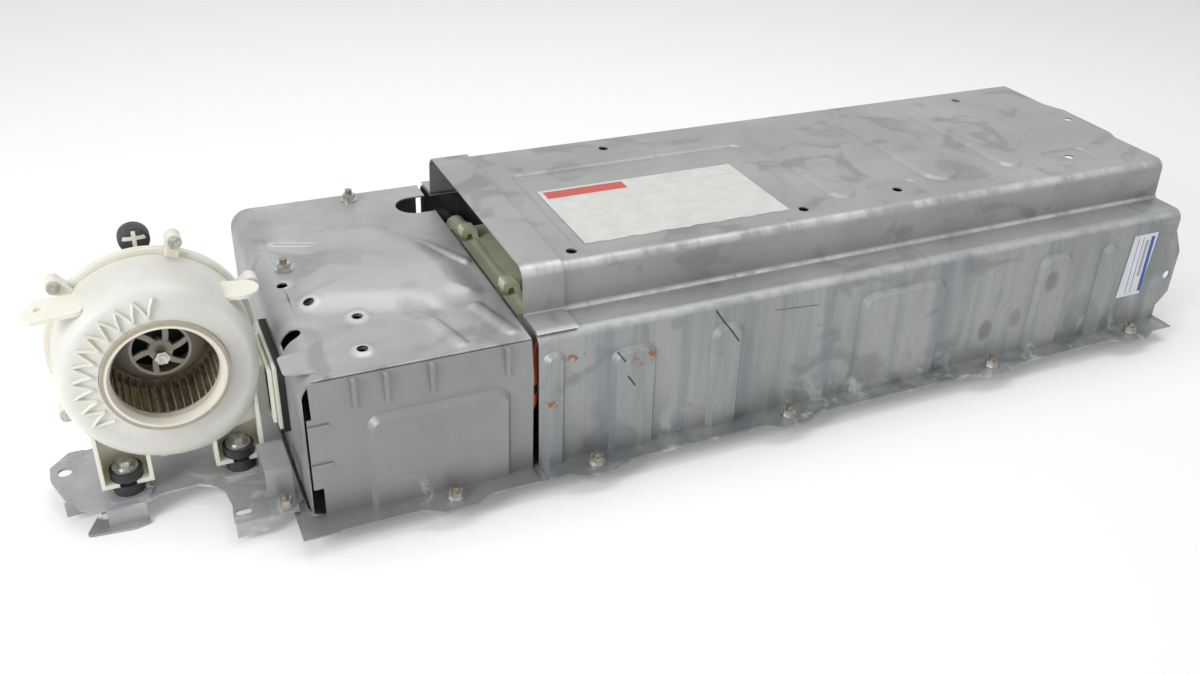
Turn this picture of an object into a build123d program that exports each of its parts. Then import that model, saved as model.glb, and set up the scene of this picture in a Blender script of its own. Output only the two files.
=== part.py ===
"""Hybrid vehicle traction battery pack with its cooling blower.

Two pressed steel covers stand on one shallow tray: a long hat-section cover over 28 prismatic modules,
and a lower box over the relays and the battery control unit. A plastic centrifugal blower stands on
rubber grommets beside the box and blows through a short duct.

Frame: +X from the blower towards the far end of the battery, +Y towards the back, +Z up.
The origin is the centre of the tray's flat underside. Millimetres.
"""

from build123d import *
from math import atan2, cos, degrees, pi, radians, sin
import os

# ---------------------------------------------------------------- driving dimensions
SHEET = 1.2                 # pressed steel
PLASTIC = 2.6               # blower mouldings
TRAY_DEPTH = 14.8           # underside to the top of the tray's rim
RIM_Z = TRAY_DEPTH          # the covers' flanges lie on the rim
FLANGE_TOP = RIM_Z + SHEET
TRAY_X = 421.0              # half length of the tray's rim
NUT_Y = 167.0               # rows of rim studs, front and back
NUT_X = (-307.0, -192.0, -15.0, 201.0, 371.0)
SPARE_HOLE_X = 296.0

WALL_Y = 153.6              # outside of the covers' front and back walls at the flange
LEDGE_Y = 150.0             # the same walls where they turn into the ledge
LEDGE_Z = 129.0
DECK_Y = 114.0              # edge of the raised deck over the battery
DECK_Z = 166.0
DECK_X0, DECK_X1 = -235.0, 415.0
END_STRIP = 33.0            # raised band along the open end of the deck
END_STEP = 2.5

BOX_X0, BOX_X1 = -409.0, -240.0   # junction box
MODULES = 28
MODULE_PITCH = 19.6
MODULE_Y, MODULE_H = 136.0, 106.0
STACK_X0 = -178.0
FLOOR = 2.8                       # top of the tray's cross beads
TERMINAL_Z = FLOOR + 84.0
END_PLATE_TOP = 118.8
ROD_Y, ROD_Z, ROD_R = (-80.0, 40.0), 112.6, 3.0

FAN_X, FAN_Z = -488.0, 116.0      # blower axis, along Y
INLET_Y = -87.0                   # mouth of the inlet ring
SHELL_Y0, SHELL_Y1 = -78.0, -27.0
FOOT_Z = 27.0                     # underside of the blower's feet
FEET = ((-527.0, -71.0), (-447.0, -71.0))

os.makedirs("parts", exist_ok=True)


# ---------------------------------------------------------------- helpers
def box(x0, x1, y0, y1, z0, z1):
    """A block between two corners."""
    return Pos((x0 + x1) / 2, (y0 + y1) / 2, (z0 + z1) / 2) * Box(x1 - x0, y1 - y0, z1 - z0)


def rod_z(x, y, z0, z1, r):
    """An upright cylinder."""
    return Pos(x, y, (z0 + z1) / 2) * Cylinder(r, z1 - z0)


def rod_y(x, z, y0, y1, r):
    """A cylinder along Y."""
    return Pos(x, (y0 + y1) / 2, z) * Rot(90, 0, 0) * Cylinder(r, y1 - y0)


def rod_x(y, z, x0, x1, r):
    """A cylinder along X."""
    return Pos((x0 + x1) / 2, y, z) * Rot(0, 90, 0) * Cylinder(r, x1 - x0)


def plate(points, z0, z1, radius=0):
    """A flat plate with that outline and rounded corners."""
    face = make_face(Polyline(*points, close=True))
    if radius:
        face = fillet(face.vertices(), radius)
    return Pos(0, 0, z0) * extrude(face, z1 - z0)


def prism_y(points, y0, y1, radius=0):
    """A profile drawn in X and Z, carried from y0 to y1."""
    face = make_face(Polyline(*points, close=True))
    if radius:
        face = fillet(face.vertices(), radius)
    return Pos(0, y0, 0) * Rot(90, 0, 0) * Pos(0, 0, -(y1 - y0)) * extrude(face, y1 - y0)


def prism_x(points, x0, x1, radius=0):
    """A profile drawn in Y and Z, carried from x0 to x1."""
    face = make_face(Polyline(*points, close=True))
    if radius:
        face = fillet(face.vertices(), radius)
    plane = Plane(origin=(x0, 0, 0), x_dir=(0, 1, 0), z_dir=(1, 0, 0))
    return extrude(plane * face, x1 - x0)


def slot_z(x, y, length, width, z0, z1, angle=0):
    """An upright obround, long along X before it is turned."""
    return Pos(x, y, z0) * Rot(0, 0, angle) * extrude(SlotOverall(length, width), z1 - z0)


def rounded(width, height, corner):
    """A rectangle with rounded corners, the radius held within half its smaller side."""
    face = Rectangle(width, height)
    return fillet(face.vertices(), min(corner, min(width, height) / 2 - 0.05))


def deck_pad(x0, x1, y0, y1, z, rise, slope=2.5, corner=10.0):
    """A pressed pad on a deck at height z: its sides slope in over the rise, up or down."""
    centre = Pos((x0 + x1) / 2, (y0 + y1) / 2, z)
    wide = rounded(x1 - x0, y1 - y0, corner)
    narrow = rounded(x1 - x0 - 2 * slope, y1 - y0 - 2 * slope, corner - slope / 2)
    return loft([centre * wide, centre * Pos(0, 0, rise) * narrow])


def wall_pad(x0, x1, z0, z1, side, skin, out, lean=0.0, slope=4.5, corner=11.0):
    """A pressed pad that stands out of a front or back wall. skin is the wall's Y at the pad's middle height."""
    normal = (0, side * cos(lean), sin(lean))
    plane = Plane(origin=((x0 + x1) / 2, side * skin, (z0 + z1) / 2), x_dir=(-side, 0, 0), z_dir=normal)
    wide = rounded(x1 - x0, z1 - z0, corner)
    narrow = rounded(x1 - x0 - 2 * slope, z1 - z0 - 2 * slope, corner - slope / 2)
    return loft([plane * Pos(0, 0, -1.0) * wide, plane * Pos(0, 0, out) * narrow])


def fuse(parts):
    """One shape from many."""
    parts = list(parts)
    return parts[0].fuse(*parts[1:]) if len(parts) > 1 else parts[0]


nodes = {}


def keep(name, shape):
    """Files the shape under its node's name."""
    nodes[name] = shape


# ---------------------------------------------------------------- flange outline
def wavy_flange(x0, x1, side, z0, z1, studs, inner, reach=180.0, dip=172.0, ear=15.0):
    """A rim strip along one side: wide ears round the studs, a narrower edge between them."""
    strip = box(x0, x1, min(side * inner, side * dip), max(side * inner, side * dip), z0, z1)
    ears = []
    for x in studs:
        half = 17.0
        pts = [
            (max(x - 2.0 * half, x0), side * (dip - 4)),
            (x - half * 0.75, side * reach),
            (x + half * 0.75, side * reach),
            (min(x + 2.0 * half, x1), side * (dip - 4)),
        ]
        ears.append(plate(pts, z0, z1))
    return fuse([strip, *ears])


# ---------------------------------------------------------------- battery cover
WALL_RIBS = (               # raised ribs on the walls: from, to, top
    (-233.0, -213.0, 117.0),
    (-177.0, -136.0, 108.0),
    (-89.0, -59.0, 111.0),
    (54.0, 143.0, 111.0),
    (247.0, 287.0, 112.0),
    (322.0, 342.0, 111.0),
)
RIB_OUT = 4.5
WALL_LEAN = atan2(WALL_Y - LEDGE_Y, LEDGE_Z - RIM_Z)
DECK_HOLES = ((-187, -95), (28, -88), (129, -82), (335, -74), (-78, 86), (330, 86))
DECK_BEADS = ((76, -86, 88, 27), (187, -84, 81, 38), (267, -80, 91, 25))   # centre X, from Y, to Y, width
HOLE_PADS = ((335, -74), (129, -82))
BEAD_RISE = 2.6
LABEL_RECESS = (-182.0, 46.0, -98.0, 56.0)


def hat_profile(t):
    """Section of the battery cover, t inside its outer skin, as a closed face in Y and Z."""
    half = [
        (WALL_Y - t, RIM_Z),
        (LEDGE_Y - t, LEDGE_Z - t),
        (DECK_Y + 2.0 - t, LEDGE_Z - t),
        (DECK_Y - t, DECK_Z - t),
    ]
    pts = [(y, z) for y, z in half] + [(-y, z) for y, z in reversed(half)]
    face = make_face(Polyline(*pts, close=True))
    foot = DECK_Y + 2.0 - t
    outer = [v for v in face.vertices() if v.Y > RIM_Z + 1 and (v.Y > LEDGE_Z + 1 or abs(v.X) > foot + 1)]
    face = fillet(outer, 9.0 - t)
    inner = [v for v in face.vertices() if abs(abs(v.X) - foot) < 0.6 and v.Y < LEDGE_Z + 1]
    return fillet(inner, 4.0 + t)


def hat_solid(t):
    """The battery cover's outer form, shrunk by t, with its pressed beads, pads and ribs."""
    plane = Plane(origin=(DECK_X0 - (0 if t == 0 else 5), 0, 0), x_dir=(0, 1, 0), z_dir=(1, 0, 0))
    length = DECK_X1 - DECK_X0 + (0 if t == 0 else 10)
    solid = extrude(plane * hat_profile(t), length)
    strip_face = plane * offset(hat_profile(t), END_STEP)
    strip = extrude(strip_face, END_STRIP + (0 if t == 0 else 5 - t))
    strip = strip - box(-1e3, 1e3, -1e3, 1e3, -50, LEDGE_Z + 1.0 - t)
    solid = solid.fuse(strip)
    cuts = []
    for x, y0, y1, width in DECK_BEADS:
        half = width / 2 - t
        solid = solid.fuse(deck_pad(x - half, x + half, y0 + t, y1 - t, DECK_Z - t - 0.01, BEAD_RISE, 3.5, half - 0.2))
    for x, y in HOLE_PADS:
        cuts.append(deck_pad(x - 25 - t, x + 25 + t, y - 17 - t, y + 15 + t, DECK_Z - t + 0.01, -1.2, 1.6, 6.0))
    x0, x1, y0, y1 = LABEL_RECESS
    cuts.append(deck_pad(x0 - t, x1 + t, y0 - t, y1 + t, DECK_Z - t + 0.01, -1.6, 2.0, 8.0))
    solid = solid.cut(*cuts)
    for side in (-1, 1):
        for x0, x1, top in WALL_RIBS:
            height = (RIM_Z - 14 + top) / 2
            skin = WALL_Y - (height - RIM_Z) * (WALL_Y - LEDGE_Y) / (LEDGE_Z - RIM_Z) - t
            pad = wall_pad(x0, x1, RIM_Z - 14, top, side, skin, RIB_OUT, WALL_LEAN)
            solid = solid.fuse(pad - box(-1e3, 1e3, -1e3, 1e3, -50, RIM_Z))
    return solid


def battery_cover():
    """The long hat-section cover, open at both ends, with its flanges and end tabs."""
    shell = hat_solid(0) - hat_solid(SHEET)
    shell = shell - box(DECK_X0 - 9, DECK_X0, -300, 300, -10, 300) - box(DECK_X1, DECK_X1 + 9, -300, 300, -10, 300)
    flanges = [wavy_flange(DECK_X0 + 1, DECK_X1, s, RIM_Z, FLANGE_TOP, NUT_X[1:], WALL_Y - 1.0) for s in (-1, 1)]
    deck_tab = plate([(DECK_X1 - 4, -60), (DECK_X1 + 6, -40), (DECK_X1 + 8, 25), (DECK_X1 - 4, 60)],
                     DECK_Z - SHEET, DECK_Z)
    lean = (WALL_Y - LEDGE_Y) / (LEDGE_Z - RIM_Z)
    wall_tabs = []
    for side in (-1, 1):
        points = [(side * (WALL_Y - lean * (z - RIM_Z) - skin), z) for skin, z in ((0, 30), (0, 108), (SHEET, 108), (SHEET, 30))]
        tab = prism_x(points, DECK_X1 - 4, DECK_X1 + 12)
        wall_tabs.append(tab - prism_y([(DECK_X1, 29), (DECK_X1 + 13, 29), (DECK_X1 + 13, 44)], -200, 200)
                         - prism_y([(DECK_X1, 109), (DECK_X1 + 13, 109), (DECK_X1 + 13, 84)], -200, 200))
    cover = fuse([shell, *flanges, deck_tab, *wall_tabs])
    holes = [rod_z(x, y, DECK_Z - 8, DECK_Z + 8, 4.4) for x, y in DECK_HOLES]
    holes += [rod_z(x, s * NUT_Y, RIM_Z - 2, FLANGE_TOP + 2, 3.4) for x in (*NUT_X[1:], SPARE_HOLE_X) for s in (-1, 1)]
    holes += [rod_y(DECK_X1 + 3, 62, s * WALL_Y - 9, s * WALL_Y + 9, 4.0) for s in (-1, 1)]
    cover = cover.cut(*holes)
    cover = cover - rod_z(DECK_X1 - 8, 3, DECK_Z - 8, DECK_Z + 8, 4.0)
    return cover


# ---------------------------------------------------------------- tray
def lower_tray():
    """Shallow pressed pan with a wavy rim and cross beads."""
    outer = plate([(-412, -150), (412, -150), (412, 150), (-412, 150)], 0, RIM_Z - SHEET, 14)
    inner = plate([(-410.8, -148.8), (410.8, -148.8), (410.8, 148.8), (-410.8, 148.8)], SHEET, RIM_Z + 1, 12.8)
    rim = [wavy_flange(-TRAY_X, TRAY_X, s, RIM_Z - SHEET, RIM_Z, NUT_X, 149.0, reach=180.0) for s in (-1, 1)]
    ends = [box(-TRAY_X, -411, -172, 172, RIM_Z - SHEET, RIM_Z), box(411, TRAY_X, -172, 172, RIM_Z - SHEET, RIM_Z)]
    wall_top = plate([(-412, -150), (412, -150), (412, 150), (-412, 150)], RIM_Z - SHEET - 0.5, RIM_Z, 14)
    tray = fuse([outer, wall_top, *rim, *ends]) - inner
    beads = [slot_z(x, 0, 240, 16, SHEET, SHEET + 1.6, 90) for x in (-330, -140, -20, 100, 220, 340)]
    tray = fuse([tray, *beads])
    holes = [rod_z(x, s * NUT_Y, RIM_Z - 4, RIM_Z + 2, 3.4) for x in (*NUT_X, SPARE_HOLE_X) for s in (-1, 1)]
    return tray.cut(*holes)


# ---------------------------------------------------------------- battery inside
def battery_module(x0):
    """One prismatic module: a ribbed case with a terminal boss at each end and a vent nozzle."""
    case = box(x0 + 0.3, x0 + MODULE_PITCH - 0.3, -MODULE_Y, MODULE_Y, FLOOR, FLOOR + MODULE_H)
    grooves = [box(x0, x0 + 1.2, y - 1.5, y + 1.5, FLOOR + 8, FLOOR + MODULE_H - 8) for y in (-90, -45, 0, 45, 90)]
    xc = x0 + MODULE_PITCH / 2
    hexagon = RegularPolygon(5.0, 6)
    front = Plane(origin=(xc, -MODULE_Y - 4.5, TERMINAL_Z), x_dir=(1, 0, 0), z_dir=(0, 1, 0))
    bosses = extrude(front * hexagon, 2 * MODULE_Y + 9)
    nozzle = Pos(xc, 60, FLOOR + MODULE_H - 0.5) * extrude(RegularPolygon(3.2, 6), 6.0)
    return fuse([case, bosses, nozzle]).cut(*grooves)


def end_plate(x0, x1):
    """A ribbed plastic plate that clamps one end of the stack, with holes for the rods."""
    body = box(x0, x1, -130, 130, FLOOR, END_PLATE_TOP)
    open_from, open_to = (x0 - 1, x1 - 4) if x0 < 0 else (x0 + 4, x1 + 1)
    pockets = [box(open_from, open_to, y, y + 37, z, z + 26)
               for y in (-124.5, -82.5, -40.5, 1.5, 43.5, 85.5) for z in (FLOOR + 5, FLOOR + 36, FLOOR + 67)]
    holes = [rod_x(y, ROD_Z, x0 - 1, x1 + 1, ROD_R + 0.05) for y in ROD_Y]
    return body.cut(*pockets, *holes)


def tie_rods(x0, x1):
    """Steel rods along the top of the stack, with a nut at each end."""
    rods = []
    for y in ROD_Y:
        rod = rod_x(y, ROD_Z, x0 - 6, x1 + 6, ROD_R)
        ends = [Plane(origin=(x, y, ROD_Z), x_dir=(0, 1, 0), z_dir=(1, 0, 0)) for x in (x0 - 4.5, x1)]
        rods.append(fuse([rod, *[extrude(plane * RegularPolygon(5.6, 6), 4.5) for plane in ends]]))
    return Compound(children=rods)


def busbar_frame(side):
    """Moulded frame over one row of terminals, with a pocket for each pair."""
    x0 = STACK_X0 + 1
    x1 = STACK_X0 + MODULES * MODULE_PITCH - 1
    y0, y1 = MODULE_Y, MODULE_Y + 8.5
    frame = box(x0, x1, min(side * y0, side * y1), max(side * y0, side * y1), 68, 108)
    step = 2 * MODULE_PITCH
    pockets = []
    for n in range(MODULES // 2):
        px = STACK_X0 + n * step
        ya, yb = sorted((side * (y0 - 1), side * (y1 + 1)))
        pockets.append(box(px + 3, px + step - 3, ya, yb, 76, 98))
    return frame.cut(*pockets)


def air_duct():
    """Cream moulding across the open end of the cover that feeds air over the modules."""
    x0, x1 = -237.0, STACK_X0 - 22.0
    ridge = prism_x([(-128, 62), (-112, 108), (-98, 121), (60, 121), (78, 112), (84, 84), (84, 62)], x0 + 4, x1)
    crown = rod_y(DUCT_X, 108, -98, 74, 13.5)
    neck = rod_y(DUCT_X, LOOM_START[2], 60, LOOM_START[1], 9.0)
    eyes = [prism_y([(-236, 110), (-214, 110), (-219, 131), (-231, 131)], y, y + 12, 2.0) for y in (-66, 36)]
    eye_slots = [prism_y([(-229, 118), (-221, 118), (-223, 126), (-227, 126)], y - 1, y + 13) for y in (-66, 36)]
    nut_rooms = [rod_x(y, ROD_Z, x1 - 7, x1 + 1, 7.5) for y in ROD_Y]
    hollow = prism_x([(-118, 66), (-104, 96), (-94, 102), (56, 102), (70, 96), (76, 80), (76, 66)], -212, x1 + 1)
    return fuse([ridge, crown, neck, *eyes]).cut(*eye_slots, *nut_rooms, hollow)


# ---------------------------------------------------------------- loom and cable
DUCT_X = -222.0
LOOM_START = (DUCT_X, 86.0, 112.0)
LOOM_POINTS = (LOOM_START, (-222.0, 108.0, 112.0), (-226.0, 127.0, 106.0), (-226.0, 127.0, 92.0))
LOOM_RADII = (20.0, 8.5)
LOOM_R = 6.2
CABLE_POINTS = ((-200, -120, 106), (-222, -120, 106), (-238, -143, 98), (-238, -143, 62), (-254, -107, 44), (-280, -107, 44))
CABLE_RADII = (14.0, 12.0, 18.0, 15.0)


def loom_tube():
    """Loom from the air duct's neck to its plug."""
    path = FilletPolyline(*LOOM_POINTS, radius=list(LOOM_RADII))
    return sweep(Plane(path @ 0, z_dir=path % 0) * Circle(LOOM_R), path)


def loom_connector():
    """Cream plug that the loom ends in, on an arm from the end plate."""
    body = box(-236, -216, 118, 136, 72, 92)
    body = chamfer(body.edges().filter_by(Axis.Z), 2.0)
    latch = box(-231, -221, 116.4, 118.2, 78, 90)
    arm = box(-216.5, STACK_X0 - 22.0, 120, 129, 76, 84)
    return fuse([body, latch, arm])


def hv_cable():
    """Orange lead from the battery's end plate to the first relay, down through the gap of the covers."""
    path = FilletPolyline(*CABLE_POINTS, radius=list(CABLE_RADII))
    return sweep(Plane(path @ 0, z_dir=path % 0) * Circle(4.6), path)


# ---------------------------------------------------------------- junction box
JUNCTION_STUDS = ((-385.5, 19.0), (-306.0, 131.0))
JUNCTION_HOLES = ((-392, -6), (-379.5, -45), (-350, -74), (-358, -121))
SWELL = ((-384, -30), (-372, -48), (-290, -70), (-262, -64), (-262, -20), (-276, 22), (-306, 66), (-340, 66), (-352, 20))


def junction_form(inset):
    """The junction box's outer form, inset by the sheet or by nothing, with its shallow pressed swell."""
    top = LEDGE_Z - inset
    past = 5 if inset else 0
    solid = box(BOX_X0 + inset, BOX_X1 + past, -147.0, 150.0 - inset, RIM_Z - past, top)
    left = [e for e in solid.edges() if abs(e.center().Z - top) < 0.1 and abs(e.center().X - BOX_X0 - inset) < 0.1]
    solid = fillet(left, BOX_ROLL - inset)
    back = [e for e in solid.edges() if abs(e.center().Z - top) < 0.1 and e.center().Y > 149 - inset]
    solid = fillet(back, 8.0 - inset)
    swell = fillet(make_face(Polyline(*SWELL, close=True)).vertices(), 9)
    pad = Pos(0, 0, top - 0.01) * extrude(swell, SWELL_RISE, taper=52)
    return solid.fuse(pad)


SWELL_RISE = 4.5
BOX_ROLL = 17.0                   # radius of the roll over the duct's side


def junction_cover():
    """Top and back of the junction box in one pressing, with the wall that takes the duct."""
    t = SHEET
    top = LEDGE_Z
    shell = junction_form(0) - junction_form(t)
    shell = shell - box(BOX_X1, BOX_X1 + 9, -300, 300, -10, 300) - box(-900, 900, -900, 900, -50, RIM_Z)
    shell = shell - box(BOX_X0 + t, 900, -149, -145.8, RIM_Z - 1, top - t)
    flange = wavy_flange(BOX_X0 + 12, BOX_X1 - 1, 1, RIM_Z, FLANGE_TOP, NUT_X[:1], 149.0)
    foot_ = box(BOX_X0 - 9, BOX_X0 + 1, 60, 140, RIM_Z, FLANGE_TOP)
    corner = plate([(BOX_X0 - 7, -132), (BOX_X0 + 24, -140), (BOX_X0 + 24, -106), (BOX_X0 - 7, -108)], top - t, top, 4)
    beads = [slot_z(x, y, 52, 9, top - 0.2, top + 1.6, a) for x, y, a in ((-259, 6, -62), (-362, 60, -20))]
    cover = fuse([shell, flange, foot_, corner, *beads])
    duct_mouth = box(BOX_X0 - 5, BOX_X0 + 8, SHELL_Y0 + 4, SHELL_Y1 + 2, DUCT_Z0 - 1, DUCT_Z1 + 1)
    notch = rod_z(BOX_X0 + 9, -79, top - 12, top + 5, 7.0) + box(BOX_X0 - 1, BOX_X0 + 9, -86, -72, top - 12, top + 5)
    bite = rod_z(BOX_X1 - 14, 102, top - 6, top + 9, 17.0) + box(BOX_X1 - 14, BOX_X1 + 4, 85, 119, top - 6, top + 9)
    holes = [rod_z(x, y, top - 8, top + 9, 4.2) for x, y in JUNCTION_HOLES]
    holes += [rod_z(x, y, top - 8, top + 9, 3.4) for x, y in JUNCTION_STUDS]
    holes += [rod_z(NUT_X[0], NUT_Y, RIM_Z - 2, FLANGE_TOP + 2, 3.4)]
    return cover.cut(duct_mouth, notch, bite, *holes)


def junction_front():
    """Separate front panel of the junction box, bent twice, with pressed ribs and a raised field."""
    t = SHEET
    x0, x1 = BOX_X0 + 2, BOX_X1
    y_low, y_high = -152.5, -148.6
    side = [(y_low, RIM_Z), (y_low, LEDGE_Z - 26), (y_high, LEDGE_Z - 1.5), (y_high + t, LEDGE_Z - 1.5),
            (y_low + t, LEDGE_Z - 26), (y_low + t, RIM_Z)]
    sheet = prism_x(side, x0, x1)
    field_out = wall_pad(-367, -257, RIM_Z - 12, 96, -1, -y_low, 4.5)
    field_in = wall_pad(-367, -257, RIM_Z - 12, 96, -1, -y_low - t, 4.5)
    ribs = [box(x - 1.6, x + 1.6, y_low - 1.2, y_high + 0.2, LEDGE_Z - 25, LEDGE_Z - 2) for x in (-373, -350, -317, -260)]
    ribs += [box(x0, x0 + 15, y_low - 1.4, y_low + 0.4, z - 1.8, z + 1.8) for z in (61, 94)]
    sheet = fuse([sheet, field_out, *ribs]) - field_in - box(-900, 900, -900, 900, -90, RIM_Z)
    flange = wavy_flange(x0 + 12, x1 - 1, -1, RIM_Z, FLANGE_TOP, NUT_X[:1], 151.6)
    sheet = sheet.fuse(flange)
    opening = box(x0 - 1, x0 + 7, y_low - 9, y_low + 9, RIM_Z - 1, RIM_Z + 26)
    upper = box(x0 - 1, x0 + 3.5, y_low - 9, y_low + 9, LEDGE_Z - 28, LEDGE_Z - 3)
    hole = rod_z(NUT_X[0], -NUT_Y, RIM_Z - 2, FLANGE_TOP + 2, 3.4)
    return sheet.cut(opening, upper, hole)


def battery_ecu():
    """Battery control unit: a flat finned case with a connector."""
    case = fillet(box(-395, -290, 20, 130, FLOOR, 34).edges().filter_by(Axis.Z), 4)
    fins = [box(-392, -293, y, y + 2, 34, 38) for y in range(28, 124, 8)]
    plug = box(-380, -330, 8, 20.5, 10, 28)
    return fuse([case, *fins, plug])


def relay_block():
    """Moulded block with three relays and their posts."""
    base = box(-396, -276, -130, -84, FLOOR, 20)
    relays = [box(x, x + 34, -126, -88, 19, 62) for x in (-392, -353, -314)]
    posts = [rod_z(x + 17, y, 61, 70, 4) for x in (-392, -353, -314) for y in (-118, -98)]
    return fuse([base, *relays, *posts])


# ---------------------------------------------------------------- blower
SCROLL_START, SCROLL_END = 64.5, 75.5
SCROLL_Y0 = -66.0                 # where the scroll steps out of the round barrel
BARREL_R = 63.0
SCROLL_TURN = 285.0               # degrees of growing scroll, from the tongue round to the outlet's floor
OUTLET_X = -420.0
DUCT_Z0, DUCT_Z1 = 57.0, 99.0     # floor and ceiling of the outlet's mouth


def scroll_radius(a):
    """Radius of the scroll wall at angle a in degrees, seen from the inlet, growing to the outlet."""
    return SCROLL_START + (SCROLL_END - SCROLL_START) * min(a, SCROLL_TURN) / SCROLL_TURN


def scroll_face(grow):
    """Scroll outline with its outlet towards +X, as a face in X and Z."""
    steps = 12
    pts = []
    for n in range(steps + 1):
        a = radians(SCROLL_TURN * n / steps)
        r = scroll_radius(degrees(a)) + grow
        pts.append((FAN_X + r * cos(a), FAN_Z + r * sin(a)))
    last = radians(SCROLL_TURN + 90)
    curve = Spline(*pts, tangents=[(0, 1), (cos(last), sin(last))])
    floor, ceiling = DUCT_Z0 - grow, DUCT_Z1 + grow
    lines = Polyline(pts[-1], (OUTLET_X, floor), (OUTLET_X, ceiling), (pts[0][0] - 3, ceiling), pts[0])
    return make_face(Wire([*curve.edges(), *lines.edges()]))


def along_y(face, y0, y1):
    """Carries a face drawn in X and Z from y0 to y1."""
    return Pos(0, y1, 0) * Rot(90, 0, 0) * extrude(face, y1 - y0)


def stepped_scroll(wall, front, back):
    """The scroll's body: a round front barrel and the wider scroll behind it."""
    barrel = rod_y(FAN_X, FAN_Z, front, SHELL_Y1 - 20, BARREL_R - wall)
    return fuse([barrel, along_y(scroll_face(-wall), SCROLL_Y0 + wall, back)])


def blower_shell():
    """Front half of the scroll: a barrel with a truss-ribbed face, the scroll wall, feet and ears."""
    t = PLASTIC
    outer = stepped_scroll(0, SHELL_Y0, SHELL_Y1)
    inner = stepped_scroll(t, SHELL_Y0 + t, SHELL_Y1 + 1)
    lip = along_y(scroll_face(4.5), SHELL_Y1 - 3.0, SHELL_Y1)
    rim = rod_y(FAN_X, FAN_Z, SHELL_Y0 - 3.5, SHELL_Y0 + 1, FACE_R) - rod_y(FAN_X, FAN_Z, -99, -50, FACE_R - 2.2)
    collar = rod_y(FAN_X, FAN_Z, SHELL_Y0 - 5.0, SHELL_Y0 + 1, RING_R + 2.5)
    shell = fuse([outer, lip, rim, collar, *truss_ribs(), *[foot(x, y) for x, y in FEET], left_ear(), right_ear(),
                  *shell_lugs(SHELL_Y1 - 8, SHELL_Y1)])
    shell = shell - inner - rod_y(FAN_X, FAN_Z, -99, SHELL_Y0 + t + 1, RING_R)
    holes = [rod_y(x, z, SHELL_Y1 - 9, SHELL_Y1 + 1, 1.9) for x, z in LUGS]
    holes += [rod_z(-558, -62, FAN_Z + 40, FAN_Z + 70, 3.9)]
    return shell.cut(*holes)


FACE_R, RING_R, THROAT_R = 57.0, 43.5, 36.5


def inlet_ring():
    """Bell mouth pressed into the shell's face, flared at its rim."""
    ring = rod_y(FAN_X, FAN_Z, INLET_Y, SHELL_Y0 + PLASTIC, RING_R) - rod_y(FAN_X, FAN_Z, -99, -60, THROAT_R)
    mouth = Pos(FAN_X, INLET_Y, FAN_Z) * Rot(90, 0, 0) * Cone(THROAT_R, RING_R - 2.0, 10)
    return ring - mouth


def truss_ribs():
    """Zigzag ribs between the inlet ring and the face's outer rim, over the inlet's left half."""
    ribs = []
    inner_r, outer_r = RING_R + 1.5, FACE_R - 1.0
    steps = 13
    for n in range(steps):
        a0 = radians(62 + n * 14.5)
        a1 = radians(62 + (n + 1) * 14.5)
        r0, r1 = (inner_r, outer_r) if n % 2 == 0 else (outer_r, inner_r)
        p = Vector(FAN_X + r0 * cos(a0), 0, FAN_Z + r0 * sin(a0))
        q = Vector(FAN_X + r1 * cos(a1), 0, FAN_Z + r1 * sin(a1))
        mid, d = (p + q) * 0.5, q - p
        ribs.append(Pos(mid.X, SHELL_Y0 - 1.5, mid.Z) * Rot(0, -degrees(atan2(d.Z, d.X)), 0) * Box(d.length + 1, 3.6, 1.6))
    return ribs


def foot(x, y):
    """Forked foot that slides over a grommet's groove, with two gussets up to the shell."""
    plate_ = box(x - 18, x + 18, y - 9, SHELL_Y0 + 34, FOOT_Z, FOOT_Z + 3.4)
    slot = rod_z(x, y, FOOT_Z - 1, FOOT_Z + 5, 7.2) + box(x - 5.8, x + 5.8, y - 12, y, FOOT_Z - 1, FOOT_Z + 5)
    wall_y = y + 13
    top = FAN_Z - 28
    gussets = [prism_x([(y - 9, FOOT_Z), (wall_y + 14, FOOT_Z), (wall_y + 14, top), (SHELL_Y0 + 1, top), (y - 9, FOOT_Z + 8)],
                       x + s * 16.6 - 1.4, x + s * 16.6 + 1.4) for s in (-1, 1)]
    web = box(x - 17, x + 17, wall_y, wall_y + 2.6, FOOT_Z, FAN_Z - 46)
    return fuse([plate_, web, *gussets]) - slot


def left_ear():
    """Flat ear with a hole, on the scroll's left shoulder, and its rib."""
    z = FAN_Z + 52
    ear = plate([(-573, -68), (-567, -78), (-534, -74), (-522, -50), (-538, -46), (-561, -48)], z, z + 3, 5)
    rib = prism_y([(-552, z + 1), (-543, z - 20), (-532, z - 20), (-532, z + 1)], -53, -50.5)
    return ear.fuse(rib)


def right_ear():
    """Round ear on the scroll's right shoulder."""
    z = FAN_Z + 44
    ear = plate([(-466, -66), (-430, -74), (-430, -50), (-466, -40)], z, z + 3)
    return ear.fuse(rod_z(-428, -62, z, z + 3, 12))


LUG_ANGLES = (137.0, 26.0, 214.0, 74.0)
LUGS = tuple((FAN_X + (scroll_radius(a) + 12.5) * cos(radians(a)), FAN_Z + (scroll_radius(a) + 12.5) * sin(radians(a)))
             for a in LUG_ANGLES)


def shell_lugs(y0, y1):
    """Screw lugs round the parting line."""
    lugs = []
    for x, z in LUGS:
        dx, dz = FAN_X - x, FAN_Z - z
        length = (dx * dx + dz * dz) ** 0.5
        arm = Pos(x + dx / length * 8, (y0 + y1) / 2, z + dz / length * 8) * Rot(0, -degrees(atan2(dz, dx)), 0)
        lugs.append(rod_y(x, z, y0, y1, 5.5).fuse(arm * Box(16, y1 - y0, 9)))
    return lugs


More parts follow.
